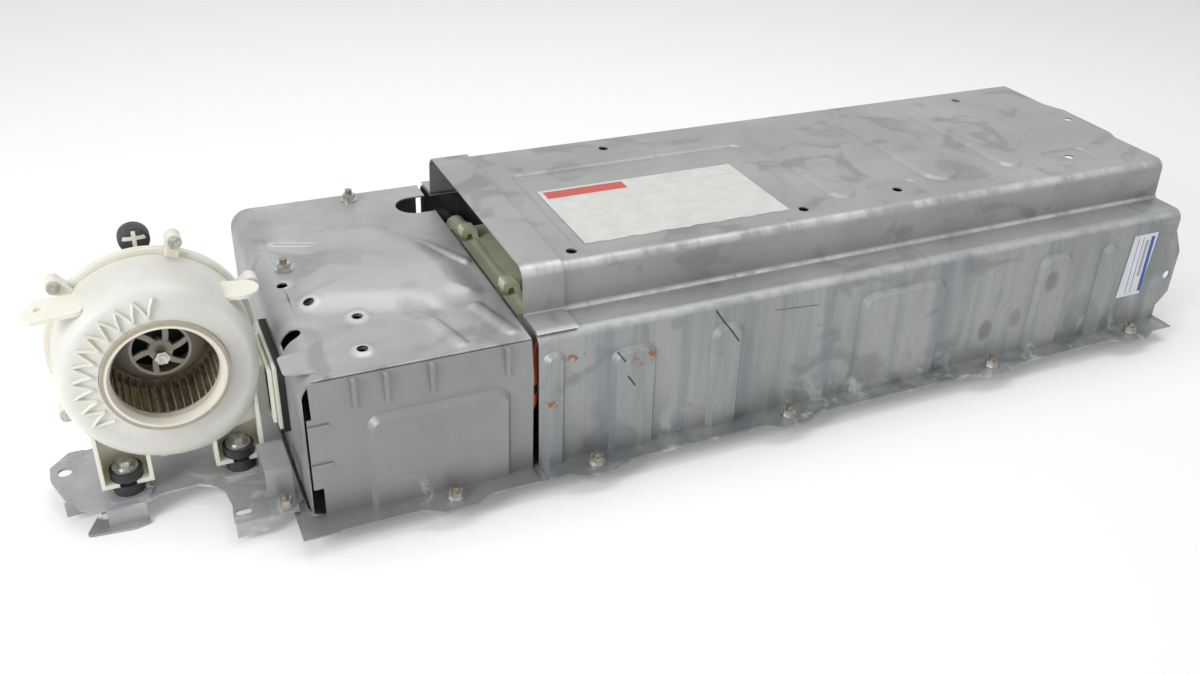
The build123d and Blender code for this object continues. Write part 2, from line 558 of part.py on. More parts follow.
def blower_back():
    """Back half: the plate that closes the scroll and carries the motor."""
    y0 = SHELL_Y1
    disc = along_y(scroll_face(4.5), y0, y0 + 3)
    step = along_y(scroll_face(-4), y0 + 2, y0 + 9)
    hollow = along_y(scroll_face(-4 - PLASTIC), y0 - 1, y0 + 9 - PLASTIC)
    collar = rod_y(FAN_X, FAN_Z, y0 + 8, y0 + 22, 34)
    neck = rod_y(FAN_X - 3, FAN_Z + 51, y0 + 3, y0 + 20, 8)
    body = fuse([disc, step, collar, neck, *shell_lugs(y0, y0 + 4)]) - hollow
    body = body - rod_y(FAN_X, FAN_Z, y0 - 1, y0 + 30, 30.6)
    holes = [rod_y(x, z, y0 - 1, y0 + 6, 2.2) for x, z in LUGS]
    return body.cut(*holes)


def outlet_duct():
    """Short duct from the scroll's outlet to the junction box, with a flange at each end."""
    y0, y1 = SHELL_Y0, SHELL_Y1 + 6
    x0, x1 = OUTLET_X, BOX_X0 - 5.0
    outer = box(x0, x1, y0, y1, DUCT_Z0, DUCT_Z1)
    inner = box(x0 - 1, x1 + 1, y0 + PLASTIC, y1 - 6 - PLASTIC, DUCT_Z0 + PLASTIC, DUCT_Z1 - PLASTIC)
    flange = box(x1 - 2.5, x1, y0 - 6, y1 + 6, DUCT_Z0 - 6, DUCT_Z1 + 6)
    collar = box(x0, x0 + 2.5, y0 - 2, y1, DUCT_Z0 - 2, DUCT_Z1 + 2)
    return fuse([outer, flange, collar]) - inner


def duct_seal():
    """Foam ring between the duct and the junction box."""
    ring = box(BOX_X0 - 5, BOX_X0, SHELL_Y0 - 8, SHELL_Y1 + 14, DUCT_Z0 - 8, DUCT_Z1 + 8)
    return ring - box(BOX_X0 - 9, BOX_X0 + 1, SHELL_Y0 + 3, SHELL_Y1 - 2, DUCT_Z0 + 3, DUCT_Z1 - 3)


BLADES = 42
BLADE_IN, BLADE_OUT = 40.6, 46.6  # radii of a blade's edges


def blade_section():
    """Section of one forward-curved blade: an arc and its inner twin, a sheet apart."""
    def point(r, turn):
        return (r * cos(radians(turn)), r * sin(radians(turn)))

    middle = (BLADE_IN + BLADE_OUT) / 2
    front = ThreePointArc(point(BLADE_IN, 0), point(middle, 1.0), point(BLADE_OUT, 5.2))
    back = ThreePointArc(point(BLADE_OUT, 6.4), point(middle, 2.6), point(BLADE_IN, 1.5))
    sides = [Line(front @ 1, back @ 0), Line(back @ 1, front @ 0)]
    return make_face(Wire([*front.edges(), *sides[0].edges(), *back.edges(), *sides[1].edges()]))


def fan_wheel():
    """Squirrel-cage wheel: curved blades between a rim and a dished back disc with a spoked hub."""
    y_back, y_front = SHELL_Y1 - 8, SHELL_Y0 + 6.5
    rim = rod_y(FAN_X, FAN_Z, y_front, y_front + 3.5, 47) - rod_y(FAN_X, FAN_Z, y_front - 1, y_front + 9, 40.5)
    disc = rod_y(FAN_X, FAN_Z, y_back - 2.5, y_back, 47) - rod_y(FAN_X, FAN_Z, y_back - 9, y_back + 1, 30)
    cone = Pos(FAN_X, y_back - 9, FAN_Z) * Rot(90, 0, 0) * (Cone(31.5, 15, 16) - Pos(0, 0, -0.8) * Cone(29.5, 13, 17.5))
    hub = rod_y(FAN_X, FAN_Z, y_back - 21, y_back - 6, 9)
    face = rod_y(FAN_X, FAN_Z, y_back - 17.5, y_back - 15, 15.5)
    blades = []
    section = blade_section()
    for n in range(BLADES):
        turned = Pos(FAN_X, y_back - 1, FAN_Z) * Rot(90, 0, 0) * Rot(0, 0, 360.0 * n / BLADES) * section
        blades.append(extrude(turned, y_back - y_front - 2))
    windows = [Pos(FAN_X, y_back - 9, FAN_Z) * Rot(0, 45 + 90 * n, 0) * Pos(22.5, 0, 0) * Box(11, 30, 13) for n in range(4)]
    bowl = cone.cut(*windows)
    wheel = fuse([rim, disc, bowl, face, hub, *blades])
    return wheel - rod_y(FAN_X, FAN_Z, -99, 20, 3.0)


def fan_shaft():
    """Motor shaft with the nut that holds the wheel."""
    y_back = SHELL_Y1 - 8
    shaft = rod_y(FAN_X, FAN_Z, y_back - 26, 8, 2.96)
    nut = Pos(FAN_X, y_back - 23.2, FAN_Z) * Rot(90, 0, 0) * extrude(RegularPolygon(5.5, 6), 2.2, both=True)
    return shaft.fuse(nut)


def blower_motor():
    """Motor can in the back half's collar, with its front bearing boss."""
    y0 = SHELL_Y1 + 10
    can = rod_y(FAN_X, FAN_Z, y0, y0 + 42, 30.56)
    can = fillet(can.edges().sort_by(Axis.Y)[-1], 6)
    boss = rod_y(FAN_X, FAN_Z, y0 - 3.5, y0 + 1, 9)
    return can.fuse(boss) - rod_y(FAN_X, FAN_Z, y0 - 9, 9, 3.04)


def vent_cap():
    """Round cap with a cross on the motor's cooling neck."""
    x, z, y0 = FAN_X - 3, FAN_Z + 51, SHELL_Y1 + 20
    ring = rod_y(x, z, y0, y0 + 12, 10.5) - rod_y(x, z, y0 + 2, y0 + 13, 8)
    bars = [Pos(x, y0 + 8, z) * Box(17, 3, 2.2), Pos(x, y0 + 8, z) * Box(2.2, 3, 17)]
    return fuse([ring, *bars])


def housing_screws():
    """Screws through the shell's lugs."""
    screws = []
    for x, z in LUGS:
        shank = rod_y(x, z, SHELL_Y1 - 12, SHELL_Y1 + 3.5, 1.8)
        head = rod_y(x, z, SHELL_Y1 - 11.5, SHELL_Y1 - 8, 4.2)
        screws.append(head.fuse(shank))
    return Compound(children=screws)


# ---------------------------------------------------------------- grommets and brackets
BRACKET_Z = RIM_Z                 # underside of the blower's bracket, on the tray's end rim
BRACKET_T = 2.0
PAD_RISE = 1.5


GROMMET_TOP = 10.5


def grommet(x, y):
    """Rubber mount with a groove for the foot and a bore for its bolt."""
    z0 = BRACKET_Z + BRACKET_T + PAD_RISE
    parts = [
        rod_z(x, y, z0, FOOT_Z, 11.0),
        rod_z(x, y, z0 + 5, FOOT_Z + 4, 7.0),
        rod_z(x, y, FOOT_Z + 3.4, FOOT_Z + GROMMET_TOP, 11.5),
    ]
    return fuse(parts) - rod_z(x, y, z0 - 1, FOOT_Z + 12, 3.6)


def foot_bolts():
    """Bolts that clamp the grommets, each with its washer and hexagon head."""
    bolts = []
    for x, y in FEET:
        z = FOOT_Z + GROMMET_TOP
        shank = rod_z(x, y, BRACKET_Z - 6, z + 6.5, 3.0)
        washer = rod_z(x, y, z, z + 1.6, 9.2)
        collar = rod_z(x, y, z + 1.5, z + 2.8, 6.6)
        head = Pos(x, y, z + 2.6) * extrude(RegularPolygon(5.6, 6), 4.6)
        nut = rod_z(x, y, BRACKET_Z - 4.5, BRACKET_Z, 5.5)
        bolts.append(fuse([shank, washer, collar, head, nut]))
    return Compound(children=bolts)


STRAP_STUD = (-425.7, -133.0)


def blower_bracket():
    """Pressed base under the blower: ears, a stepped front tab and a folded lip."""
    z0, t = BRACKET_Z, BRACKET_T
    base = plate([(-557, -88), (-520, -90), (-506, -84), (-480, -83), (-470, -89), (-463, -100), (-461, -116),
                  (-463, -138), (-430, -138), (BOX_X0 - 3, -130), (BOX_X0 - 3, -6), (-470, 6), (-557, -10)], z0, z0 + t, 3)
    ear = plate([(-553, -88), (-562, -82), (-580, -40), (-580, -24), (-566, -8), (-553, -8)], z0, z0 + t, 4)
    ear_lip = box(-572, -556, -72, -70, z0 - 10, z0 + t)
    ear_land = plate([(-580, -40), (-570, -71), (-556, -71), (-552, -40)], z0, z0 + t, 2)
    drop = box(-545, -518, -90, -88, z0 - 15.4, z0 + 1)
    low = plate([(-561, -94), (-554, -78), (-546, -64.5), (-519, -76), (-517, -94), (-528, -97)], z0 - 15.6, z0 - 13.6, 2)
    link = box(-545, -519, -90, -76, z0 - 15.4, z0 - 13.6)
    lip = box(-462, -440, -139.5, -137.6, z0 - 11, z0 + t)
    pads = [plate([(x - 15, y - 14), (x + 15, y - 14), (x + 15, y + 26), (x - 15, y + 26)], z0 + t - 0.5, z0 + t + PAD_RISE, 6)
            for x, y in FEET]
    body = fuse([base, ear, ear_land, ear_lip, drop, low, link, lip, *pads])
    holes = [rod_z(-569.8, -32.6, z0 - 2, z0 + 5, 5.2), rod_z(-513.6, -72.5, z0 - 2, z0 + 5, 3.2)]
    holes += [rod_z(-547, -75, z0 - 20, z0 - 10, 5.0), slot_z(-454.6, -126.6, 12, 7, z0 - 2, z0 + 5)]
    holes += [rod_z(x, y, z0 - 2, z0 + 5, 3.1) for x, y in FEET] + [rod_z(*STRAP_STUD, z0 - 2, z0 + 5, 3.4)]
    return body.cut(*holes)


def strap_bracket():
    """Arched strap beside the blower: a bolted foot, a riser, a top and a leg back to the bracket."""
    t = 2.0
    z0 = BRACKET_Z + BRACKET_T
    z1 = z0 + 26
    side = [(-142, z0), (-121, z0), (-121, z1), (-90, z1), (-90, z0), (-88, z0), (-88, z1 + t), (-123, z1 + t),
            (-123, z0 + t), (-142, z0 + t)]
    strap = prism_x(side, -436, BOX_X0 - 8)
    return strap - rod_z(*STRAP_STUD, z0 - 2, z0 + 5, 3.4)


# ---------------------------------------------------------------- studs and nuts
def rim_places():
    """Every stud on the rim, and the two on the junction box's top."""
    places = [(x, s * NUT_Y, FLANGE_TOP) for x in NUT_X for s in (-1, 1)]
    return places


def flange_nut(x, y, z):
    """Hexagon nut on its round flange."""
    flange = rod_z(x, y, z, z + 1.6, 7.0)
    hexagon = Pos(x, y, z + 1.4) * extrude(RegularPolygon(5.6, 6), 5.0)
    return flange.fuse(hexagon) - rod_z(x, y, z - 1, z + 9, 3.02)


def flange_nuts():
    """All the nuts, on the rim, the junction box and the strap."""
    places = rim_places() + [(x, y, LEDGE_Z + 0.02) for x, y in JUNCTION_STUDS] + [(*STRAP_STUD, BRACKET_Z + BRACKET_T + 2.0)]
    return Compound(children=[flange_nut(*p) for p in places])


def flange_studs():
    """Their studs, domed at the top, headed below the sheet."""
    studs = []
    for x, y, z in rim_places():
        studs.append(rod_z(x, y, z - SHEET - 3.4, z + 10.5, 3.0).fuse(rod_z(x, y, z - 2 * SHEET - 2, z - 2 * SHEET, 6.0)))
    for x, y in JUNCTION_STUDS:
        z = LEDGE_Z
        studs.append(rod_z(x, y, z - SHEET - 2, z + 10.5, 3.0).fuse(rod_z(x, y, z - SHEET - 2.2, z - SHEET, 6.0)))
    z = BRACKET_Z
    studs.append(rod_z(*STRAP_STUD, z - 2.2, z + 14.5, 3.0).fuse(rod_z(*STRAP_STUD, z - 2.2, z, 4.5)))
    return Compound(children=studs)


# ---------------------------------------------------------------- write the nodes
def main():
    """Builds every node and writes its STEP."""
    keep("battery_cover", battery_cover())
    keep("lower_tray", lower_tray())
    for n in range(MODULES):
        keep(f"module_{n + 1:02d}", battery_module(STACK_X0 + n * MODULE_PITCH))
    stack_end = STACK_X0 + MODULES * MODULE_PITCH
    keep("end_plate_left", end_plate(STACK_X0 - 22, STACK_X0 - 0.2))
    keep("end_plate_right", end_plate(stack_end + 0.2, stack_end + 22))
    keep("tie_rods", tie_rods(STACK_X0 - 22, stack_end + 22))
    keep("busbar_frame_front", busbar_frame(-1))
    keep("busbar_frame_rear", busbar_frame(1))
    keep("air_duct", air_duct())
    keep("loom_tube", loom_tube())
    keep("loom_connector", loom_connector())
    keep("hv_cable", hv_cable())
    keep("junction_cover", junction_cover())
    keep("junction_front", junction_front())
    keep("battery_ecu", battery_ecu())
    keep("relay_block", relay_block())
    keep("blower_shell", blower_shell())
    keep("inlet_ring", inlet_ring())
    keep("blower_back", blower_back())
    keep("outlet_duct", outlet_duct())
    keep("duct_seal", duct_seal())
    keep("fan_wheel", fan_wheel())
    keep("fan_shaft", fan_shaft())
    keep("blower_motor", blower_motor())
    keep("vent_cap", vent_cap())
    keep("housing_screws", housing_screws())
    keep("grommet_left", grommet(*FEET[0]))
    keep("grommet_right", grommet(*FEET[1]))
    keep("foot_bolts", foot_bolts())
    keep("blower_bracket", blower_bracket())
    keep("strap_bracket", strap_bracket())
    keep("flange_nuts", flange_nuts())
    keep("flange_studs", flange_studs())
    for name, shape in nodes.items():
        export_step(shape, f"parts/{name}.step")


main()
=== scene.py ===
"""Looks of a used hybrid traction battery pack with its cooling blower.

The pack stands on a pale floor. Galvanised covers carry drawing streaks, stains, rust specks and
scuffs, and the blower is natural polypropylene with dust round its inlet.
"""

import math

import bpy
import numpy as np
from mathutils import Matrix, Vector


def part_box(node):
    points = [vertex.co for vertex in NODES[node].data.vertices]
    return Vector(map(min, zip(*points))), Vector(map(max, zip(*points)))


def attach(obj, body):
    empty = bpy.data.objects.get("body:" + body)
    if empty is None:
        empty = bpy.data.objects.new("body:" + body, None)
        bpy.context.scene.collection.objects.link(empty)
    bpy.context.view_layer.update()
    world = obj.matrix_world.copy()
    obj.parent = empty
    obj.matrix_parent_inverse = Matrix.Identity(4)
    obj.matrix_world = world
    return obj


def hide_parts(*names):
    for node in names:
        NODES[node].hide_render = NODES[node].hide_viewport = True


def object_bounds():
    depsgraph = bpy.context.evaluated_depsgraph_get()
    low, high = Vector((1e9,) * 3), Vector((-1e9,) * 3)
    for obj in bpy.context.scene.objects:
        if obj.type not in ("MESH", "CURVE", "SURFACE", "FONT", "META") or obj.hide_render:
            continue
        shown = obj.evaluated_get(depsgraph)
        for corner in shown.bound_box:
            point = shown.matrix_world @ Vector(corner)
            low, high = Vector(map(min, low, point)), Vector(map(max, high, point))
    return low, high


bl_info = {
    "name": "Traction battery pack looks",
    "version": (1, 0, 0),
    "blender": (4, 5, 0),
    "location": "View3D > Sidebar > Battery pack",
    "description": "Finishes and loose trim of a traction battery pack with its blower",
    "category": "Object",
}

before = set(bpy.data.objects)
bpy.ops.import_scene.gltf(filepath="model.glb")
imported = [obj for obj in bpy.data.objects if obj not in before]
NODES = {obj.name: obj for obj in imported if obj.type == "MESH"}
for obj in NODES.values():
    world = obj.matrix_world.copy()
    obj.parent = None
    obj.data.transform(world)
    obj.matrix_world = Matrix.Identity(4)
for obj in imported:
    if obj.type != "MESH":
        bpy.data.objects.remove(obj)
CAD_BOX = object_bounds()

COVER_LOW, COVER_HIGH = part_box("battery_cover")
JUNCTION_LOW, JUNCTION_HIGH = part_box("junction_cover")
WHEEL_LOW, WHEEL_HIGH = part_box("fan_wheel")
TRAY_LOW, TRAY_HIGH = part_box("lower_tray")
FAN_AXIS = ((WHEEL_LOW[0] + WHEEL_HIGH[0]) / 2, (WHEEL_LOW[2] + WHEEL_HIGH[2]) / 2)
DECK_TOP = 0.166
LEDGE_TOP = 0.129
DECK_EDGE = 0.114
SCROLL_LOW, SCROLL_HIGH, SCROLL_TURN = 0.0645, 0.0755, 285.0
DOME_START, DOME_POWER = 0.054, 3.3
DOME_BACK, DOME_FACE = -0.060, -0.0826
COLLAR_R, COLLAR_Y = 0.0442, -0.0845
SKIN_GAP, SKIN_THICK, SKIN_END = 0.0006, 0.0005, -0.0308
BLADES, BLADE_IN, BLADE_OUT, BLADE_THICK = 42, 0.0396, 0.0466, 0.0010
WHEEL_FRONT, WHEEL_BACK = -0.0712, -0.0226
TRUSS_FROM, TRUSS_STEP, TRUSS_LEGS = 90.0, 6.0, 21
TRUSS_IN, TRUSS_OUT = 0.0475, 0.0615
CAP_RISE = 0.0185
TOP_SWELL = ((-0.384, -0.030), (-0.372, -0.048), (-0.290, -0.070), (-0.262, -0.064), (-0.262, -0.020),
             (-0.276, 0.022), (-0.306, 0.066), (-0.340, 0.066), (-0.352, 0.020))
TOP_BEADS = ((-0.2711, 0.0279, -0.2469, -0.0159, 0.0022), (-0.3856, 0.0687, -0.3386, 0.0515, 0.0022),
             (-0.300, -0.098, -0.290, -0.136, 0.0016), (-0.262, -0.088, -0.250, -0.132, 0.0016))
TOP_SEATS = ((-0.3795, -0.045, 0.011, 0.0012), (-0.350, -0.074, 0.012, 0.0010),
             (-0.358, -0.121, 0.010, 0.0018))
TOP_BITE = (-0.254, 0.102)
TOP_HOLES = ((-0.392, -0.006), (-0.3795, -0.045), (-0.350, -0.074), (-0.358, -0.121))
LEDGE_EDGE = 0.150


# ---------------------------------------------------------------- shader maths
class Value:
    """A number socket. Its operators add Math nodes, so a finish reads as a formula."""

    def __init__(self, finish, socket):
        self.finish = finish
        self.socket = socket

    def math(self, operation, *others, clamp=False):
        """Adds one Math node on this value and the others."""
        node = self.finish.tree.nodes.new("ShaderNodeMath")
        node.operation = operation
        node.use_clamp = clamp
        for slot, item in enumerate((self, *others)):
            self.finish.feed(node.inputs[slot], item)
        return Value(self.finish, node.outputs[0])

    def __add__(self, other):
        return self.math("ADD", other)

    __radd__ = __add__

    def __mul__(self, other):
        return self.math("MULTIPLY", other)

    __rmul__ = __mul__

    def __sub__(self, other):
        return self.math("SUBTRACT", other)

    def __rsub__(self, other):
        return (self * -1.0) + other

    def __truediv__(self, other):
        return self.math("DIVIDE", other)

    def __pow__(self, other):
        return self.math("POWER", other)

    def __abs__(self):
        return self.math("ABSOLUTE")

    def clip(self):
        """Held between 0 and 1."""
        return self.math("ADD", 0.0, clamp=True)

    def most(self, other):
        """The larger of two values."""
        return self.math("MAXIMUM", other)

    def rise(self, low, high):
        """0 below low, 1 above high, smooth between. With low above high it falls."""
        settings = {"interpolation_type": "SMOOTHSTEP"}
        return self.finish.node("ShaderNodeMapRange", settings,
                                {"Value": self, "From Min": low, "From Max": high})


class Finish:
    """One material: its coordinates, its nodes and its shader."""

    def __init__(self, name, **constants):
        self.material = bpy.data.materials.new(name)
        self.material.use_nodes = True
        self.tree = self.material.node_tree
        self.tree.nodes.clear()
        self.shader = self.tree.nodes.new("ShaderNodeBsdfPrincipled")
        end = self.tree.nodes.new("ShaderNodeOutputMaterial")
        self.tree.links.new(self.shader.outputs["BSDF"], end.inputs["Surface"])
        for key, value in constants.items():
            self.shader.inputs[key.replace("_", " ")].default_value = value
        coordinates = self.tree.nodes.new("ShaderNodeTexCoord")
        self.coordinates = coordinates.outputs["Object"]
        self.x, self.y, self.z = self.split(self.coordinates)

    def feed(self, socket, item):
        """Links a value or socket, or sets a constant."""
        if isinstance(item, Value):
            self.tree.links.new(item.socket, socket)
        elif isinstance(item, bpy.types.NodeSocket):
            self.tree.links.new(item, socket)
        elif isinstance(item, (tuple, list)) and len(item) == 3 and socket.type == "RGBA":
            socket.default_value = (*item, 1.0)
        else:
            socket.default_value = item

    def node(self, kind, settings=None, inputs=None, output=0):
        """Adds a node, sets it up, feeds it, and gives one output as a Value."""
        node = self.tree.nodes.new(kind)
        for key, value in (settings or {}).items():
            setattr(node, key, value)
        for key, item in (inputs or {}).items():
            self.feed(node.inputs[key], item)
        return Value(self, node.outputs[output])

    def split(self, vector):
        """The three parts of a vector."""
        node = self.tree.nodes.new("ShaderNodeSeparateXYZ")
        self.tree.links.new(vector, node.inputs[0])
        return [Value(self, socket) for socket in node.outputs]

    def stretched(self, scale):
        """Object coordinates with each axis scaled."""
        return self.node("ShaderNodeMapping", {"vector_type": "POINT"},
                         {"Vector": self.coordinates, "Scale": scale})

    def noise(self, scale, detail=4.0, roughness=0.55, stretch=None, warp=0.0):
        """Fractal noise from 0 to 1, about 0.5."""
        vector = self.stretched(stretch) if stretch else self.coordinates
        inputs = {"Vector": vector, "Scale": scale, "Detail": detail, "Roughness": roughness,
                  "Distortion": warp}
        return self.node("ShaderNodeTexNoise", {}, inputs)

    def mix(self, factor, below, above):
        """Colour from below to above as factor goes from 0 to 1."""
        node = self.tree.nodes.new("ShaderNodeMix")
        node.data_type = "RGBA"
        self.feed(node.inputs[0], factor)
        self.feed(node.inputs[6], below)
        self.feed(node.inputs[7], above)
        return node.outputs[2]

    def spot(self, x, z, rx, rz, edge=0.35):
        """1 inside an upright oval on a wall, falling softly at its rim."""
        distance = (((self.x - x) / rx) ** 2.0 + ((self.z - z) / rz) ** 2.0) ** 0.5
        return distance.rise(1.0 + edge, 1.0 - edge)

    def line(self, start, end, width):
        """1 along a straight scratch on a wall, from start to end in X and Z."""
        ax, az = start
        dx, dz = end[0] - ax, end[1] - az
        along = (((self.x - ax) * dx + (self.z - az) * dz) / (dx * dx + dz * dz)).clip()
        distance = ((self.x - ax - along * dx) ** 2.0 + (self.z - az - along * dz) ** 2.0) ** 0.5
        return distance.rise(width, width * 0.4)

    def done(self, colour=None, roughness=None, metallic=None, height=None, depth=0.001, strength=0.4,
             alpha=None):
        """Feeds the shader and gives the material."""
        for key, item in (("Base Color", colour), ("Roughness", roughness), ("Metallic", metallic),
                          ("Alpha", alpha)):
            if item is not None:
                self.feed(self.shader.inputs[key], item)
        if height is not None:
            inputs = {"Height": height, "Distance": depth, "Strength": strength}
            bump = self.node("ShaderNodeBump", {}, inputs)
            self.tree.links.new(bump.socket, self.shader.inputs["Normal"])
        return self.material


# ---------------------------------------------------------------- finishes
def galvanised(name, base, light, dark, tint, tint_amount, stains=1.0, folds=(), spots=(), rust=(),
               scratches=(), pierced=False):
    """Galvanised sheet: cloudy zinc, fine grain, drawn streaks, white bloom low down, and what has hit it;
    painted highlights along the folds and on the pierced top's crest.
    """
    f = Finish(name, Metallic=0.42)
    cloud = f.noise(7.0, 5.0, 0.6, warp=0.4)
    patch = f.noise(16.0, 3.0, 0.5, warp=1.2)
    grain = f.noise(420.0, 2.0, 0.6)
    streak = f.noise(60.0, 3.0, 0.6, stretch=(1.0, 1.0, 0.06))
    colour = f.mix(cloud.rise(0.32, 0.68), base, light)
    colour = f.mix(patch.rise(0.52, 0.66) * (0.45 * stains), colour, dark)
    colour = f.mix(streak.rise(0.35, 0.75) * f.z.rise(0.132, 0.120) * tint_amount, colour, tint)
    bloom = f.noise(22.0, 6.0, 0.7, warp=0.8).rise(0.55, 0.62) * f.z.rise(0.05, 0.02)
    colour = f.mix(bloom * 0.5, colour, (0.62, 0.66, 0.66))
    grime = f.noise(90.0, 5.0, 0.7).rise(0.62, 0.70)
    colour = f.mix(grime * (0.35 * stains), colour, dark)
    # Painted highlights: a pale band along each fold line, broken up by streaky noise, stands in for the light
    # caught on the rounded folds.
    for y, z, width in folds:
        fold = (((abs(f.y) - y) ** 2.0 + (f.z - z) ** 2.0) ** 0.5).rise(width, width * 0.3)
        highlight_breakup = f.noise(35.0, 4.0, 0.7, stretch=(1.0, 0.2, 0.2)).rise(0.35, 0.6)
        colour = f.mix(fold * highlight_breakup * 0.55, colour, (0.74, 0.75, 0.75))
    front = f.y.rise(-0.140, -0.148)
    for x, z, rx, rz, amount in spots:
        colour = f.mix(f.spot(x, z, rx, rz) * front * amount, colour, dark)
    for x, z, radius in rust:
        speck = f.noise(260.0, 4.0, 0.7).rise(0.50, 0.58) * f.spot(x, z, radius, radius * 0.55, 0.6)
        colour = f.mix(speck * front, colour, (0.30, 0.11, 0.035))
    for start, end, width in scratches:
        colour = f.mix(f.line(start, end, width) * front * 0.85, colour, (0.015, 0.015, 0.018))
    roughness = 0.44 + (cloud - 0.5) * 0.25 + (grain - 0.5) * 0.10 + bloom * 0.2
    height = grain * 0.06 + cloud * 1.2 + grime * 0.15
    open_sheet = None
    if pierced:
        # Painted highlight: the swell's crest on the pierced top is lightened by height to stand in for the
        # light it catches.
        crest_highlight = f.z.rise(0.1305, 0.1352)
        colour = f.mix(crest_highlight * 0.35, colour, light)
        open_sheet = f.x * 0.0 + 1.0
        for px, py in TOP_HOLES:
            gap = ((f.x - px) ** 2.0 + (f.y - py) ** 2.0) ** 0.5
            colour = f.mix(gap.rise(0.0085 + 0.002, 0.0065) * 0.5, colour, (0.66, 0.67, 0.67))
            open_sheet = open_sheet * gap.rise(0.0041, 0.0043)
        px, py = TOP_BITE
        bite = ((f.x - px) ** 2.0 + (f.y - py) ** 2.0) ** 0.5
        open_sheet = open_sheet * bite.rise(0.0169, 0.0171)
        open_sheet = open_sheet * (1.0 - abs(f.y - py).rise(0.0171, 0.0169) * f.x.rise(px, px + 0.0001))
    return f.done(colour, roughness, height=height, depth=0.0008, strength=0.35, alpha=open_sheet)


COVER_SPOTS = (
    (0.198, 0.046, 0.007, 0.010, 0.65),
    (0.232, 0.052, 0.006, 0.009, 0.45),
    (0.262, 0.086, 0.007, 0.010, 0.60),
    (-0.120, 0.118, 0.006, 0.005, 0.30),
)
COVER_RUST = ((-0.150, 0.098, 0.012), (-0.206, 0.108, 0.008), (-0.226, 0.072, 0.006))
COVER_SCRATCHES = (
    ((-0.086, 0.122), (-0.066, 0.094), 0.0011),
    ((-0.171, 0.104), (-0.166, 0.097), 0.0010),
    ((-0.163, 0.083), (-0.157, 0.074), 0.0011),
    ((-0.030, 0.112), (0.010, 0.109), 0.0005),
)


def cover_steel(settings):
    """The long cover: mid grey with a violet cast on its walls and painted highlights along its folds."""
    # Painted highlights go along these folds: the deck edge, the ledge crease and the ledge edge.
    folds = ((DECK_EDGE - 0.001, DECK_TOP, 0.007), (DECK_EDGE + 0.002, LEDGE_TOP, 0.0035),
             (LEDGE_EDGE, LEDGE_TOP, 0.006))
    return galvanised("cover_steel", settings.steel, (0.37, 0.385, 0.375), (0.15, 0.152, 0.152),
                      (0.19, 0.215, 0.245), 0.75,
                      folds=folds, spots=COVER_SPOTS, rust=COVER_RUST, scratches=COVER_SCRATCHES)


def box_steel(settings, pierced=False):
    """The junction box: the same zinc, paler, with a painted highlight along its ledge edge and, on the pierced
    top, on the swell's crest. The pierced sheet is open over the holes.
    """
    return galvanised("pierced_steel" if pierced else "box_steel", settings.steel, (0.46, 0.47, 0.47),
                      (0.20, 0.20, 0.20), (0.27, 0.27, 0.29), 0.2, 1.1,
                      folds=((LEDGE_EDGE, LEDGE_TOP, 0.006),), pierced=pierced)


def panel_steel(settings):
    """The front panel: smoother and a little darker."""
    return galvanised("panel_steel", (0.27, 0.275, 0.275), (0.31, 0.315, 0.315), (0.19, 0.19, 0.19),
                      (0.24, 0.24, 0.26), 0.25, 0.35)


def bracket_steel(settings):
    """Brackets and strap: bright zinc sheet."""
    return galvanised("bracket_steel", (0.36, 0.365, 0.375), (0.47, 0.475, 0.48), (0.22, 0.22, 0.225),
                      (0.3, 0.3, 0.33), 0.2, 0.7)


def tray_steel(settings):
    """The tray: as the covers, dirtier."""
    return galvanised("tray_steel", (0.27, 0.275, 0.28), (0.36, 0.365, 0.37), (0.15, 0.15, 0.15),
                      (0.25, 0.25, 0.28), 0.3, 1.2)


def plated_steel(name, base, rusted):
    """Zinc-plated fastener with a little rust in its threads."""
    f = Finish(name, Metallic=0.9)
    spread = f.noise(260.0, 4.0, 0.65)
    colour = f.mix(spread.rise(0.35, 0.7), base, tuple(v * 0.62 for v in base))
    colour = f.mix(f.noise(480.0, 3.0, 0.7).rise(0.52, 0.62) * rusted, colour, (0.23, 0.12, 0.06))
    thread = f.node("ShaderNodeTexWave", {"bands_direction": "Z"}, {"Vector": f.coordinates, "Scale": 320.0})
    height = spread * 0.5 + thread * (0.5 if rusted > 0.4 else 0.0)
    return f.done(colour, 0.28 + spread * 0.2, height=height, depth=0.0003, strength=0.4)


def moulding(name, base, speckle=0.06, roughness=0.5, **constants):
    """Plain moulded plastic with a faint mottle and a fine grain."""
    f = Finish(name, **constants)
    mottle = f.noise(24.0, 4.0, 0.6)
    grain = f.noise(900.0, 2.0, 0.5)
    colour = f.mix(mottle.rise(0.3, 0.7), base, tuple(v * (1 - speckle * 3) for v in base))
    return f.done(colour, roughness + (mottle - 0.5) * 0.2, height=grain, depth=0.0002, strength=0.25)


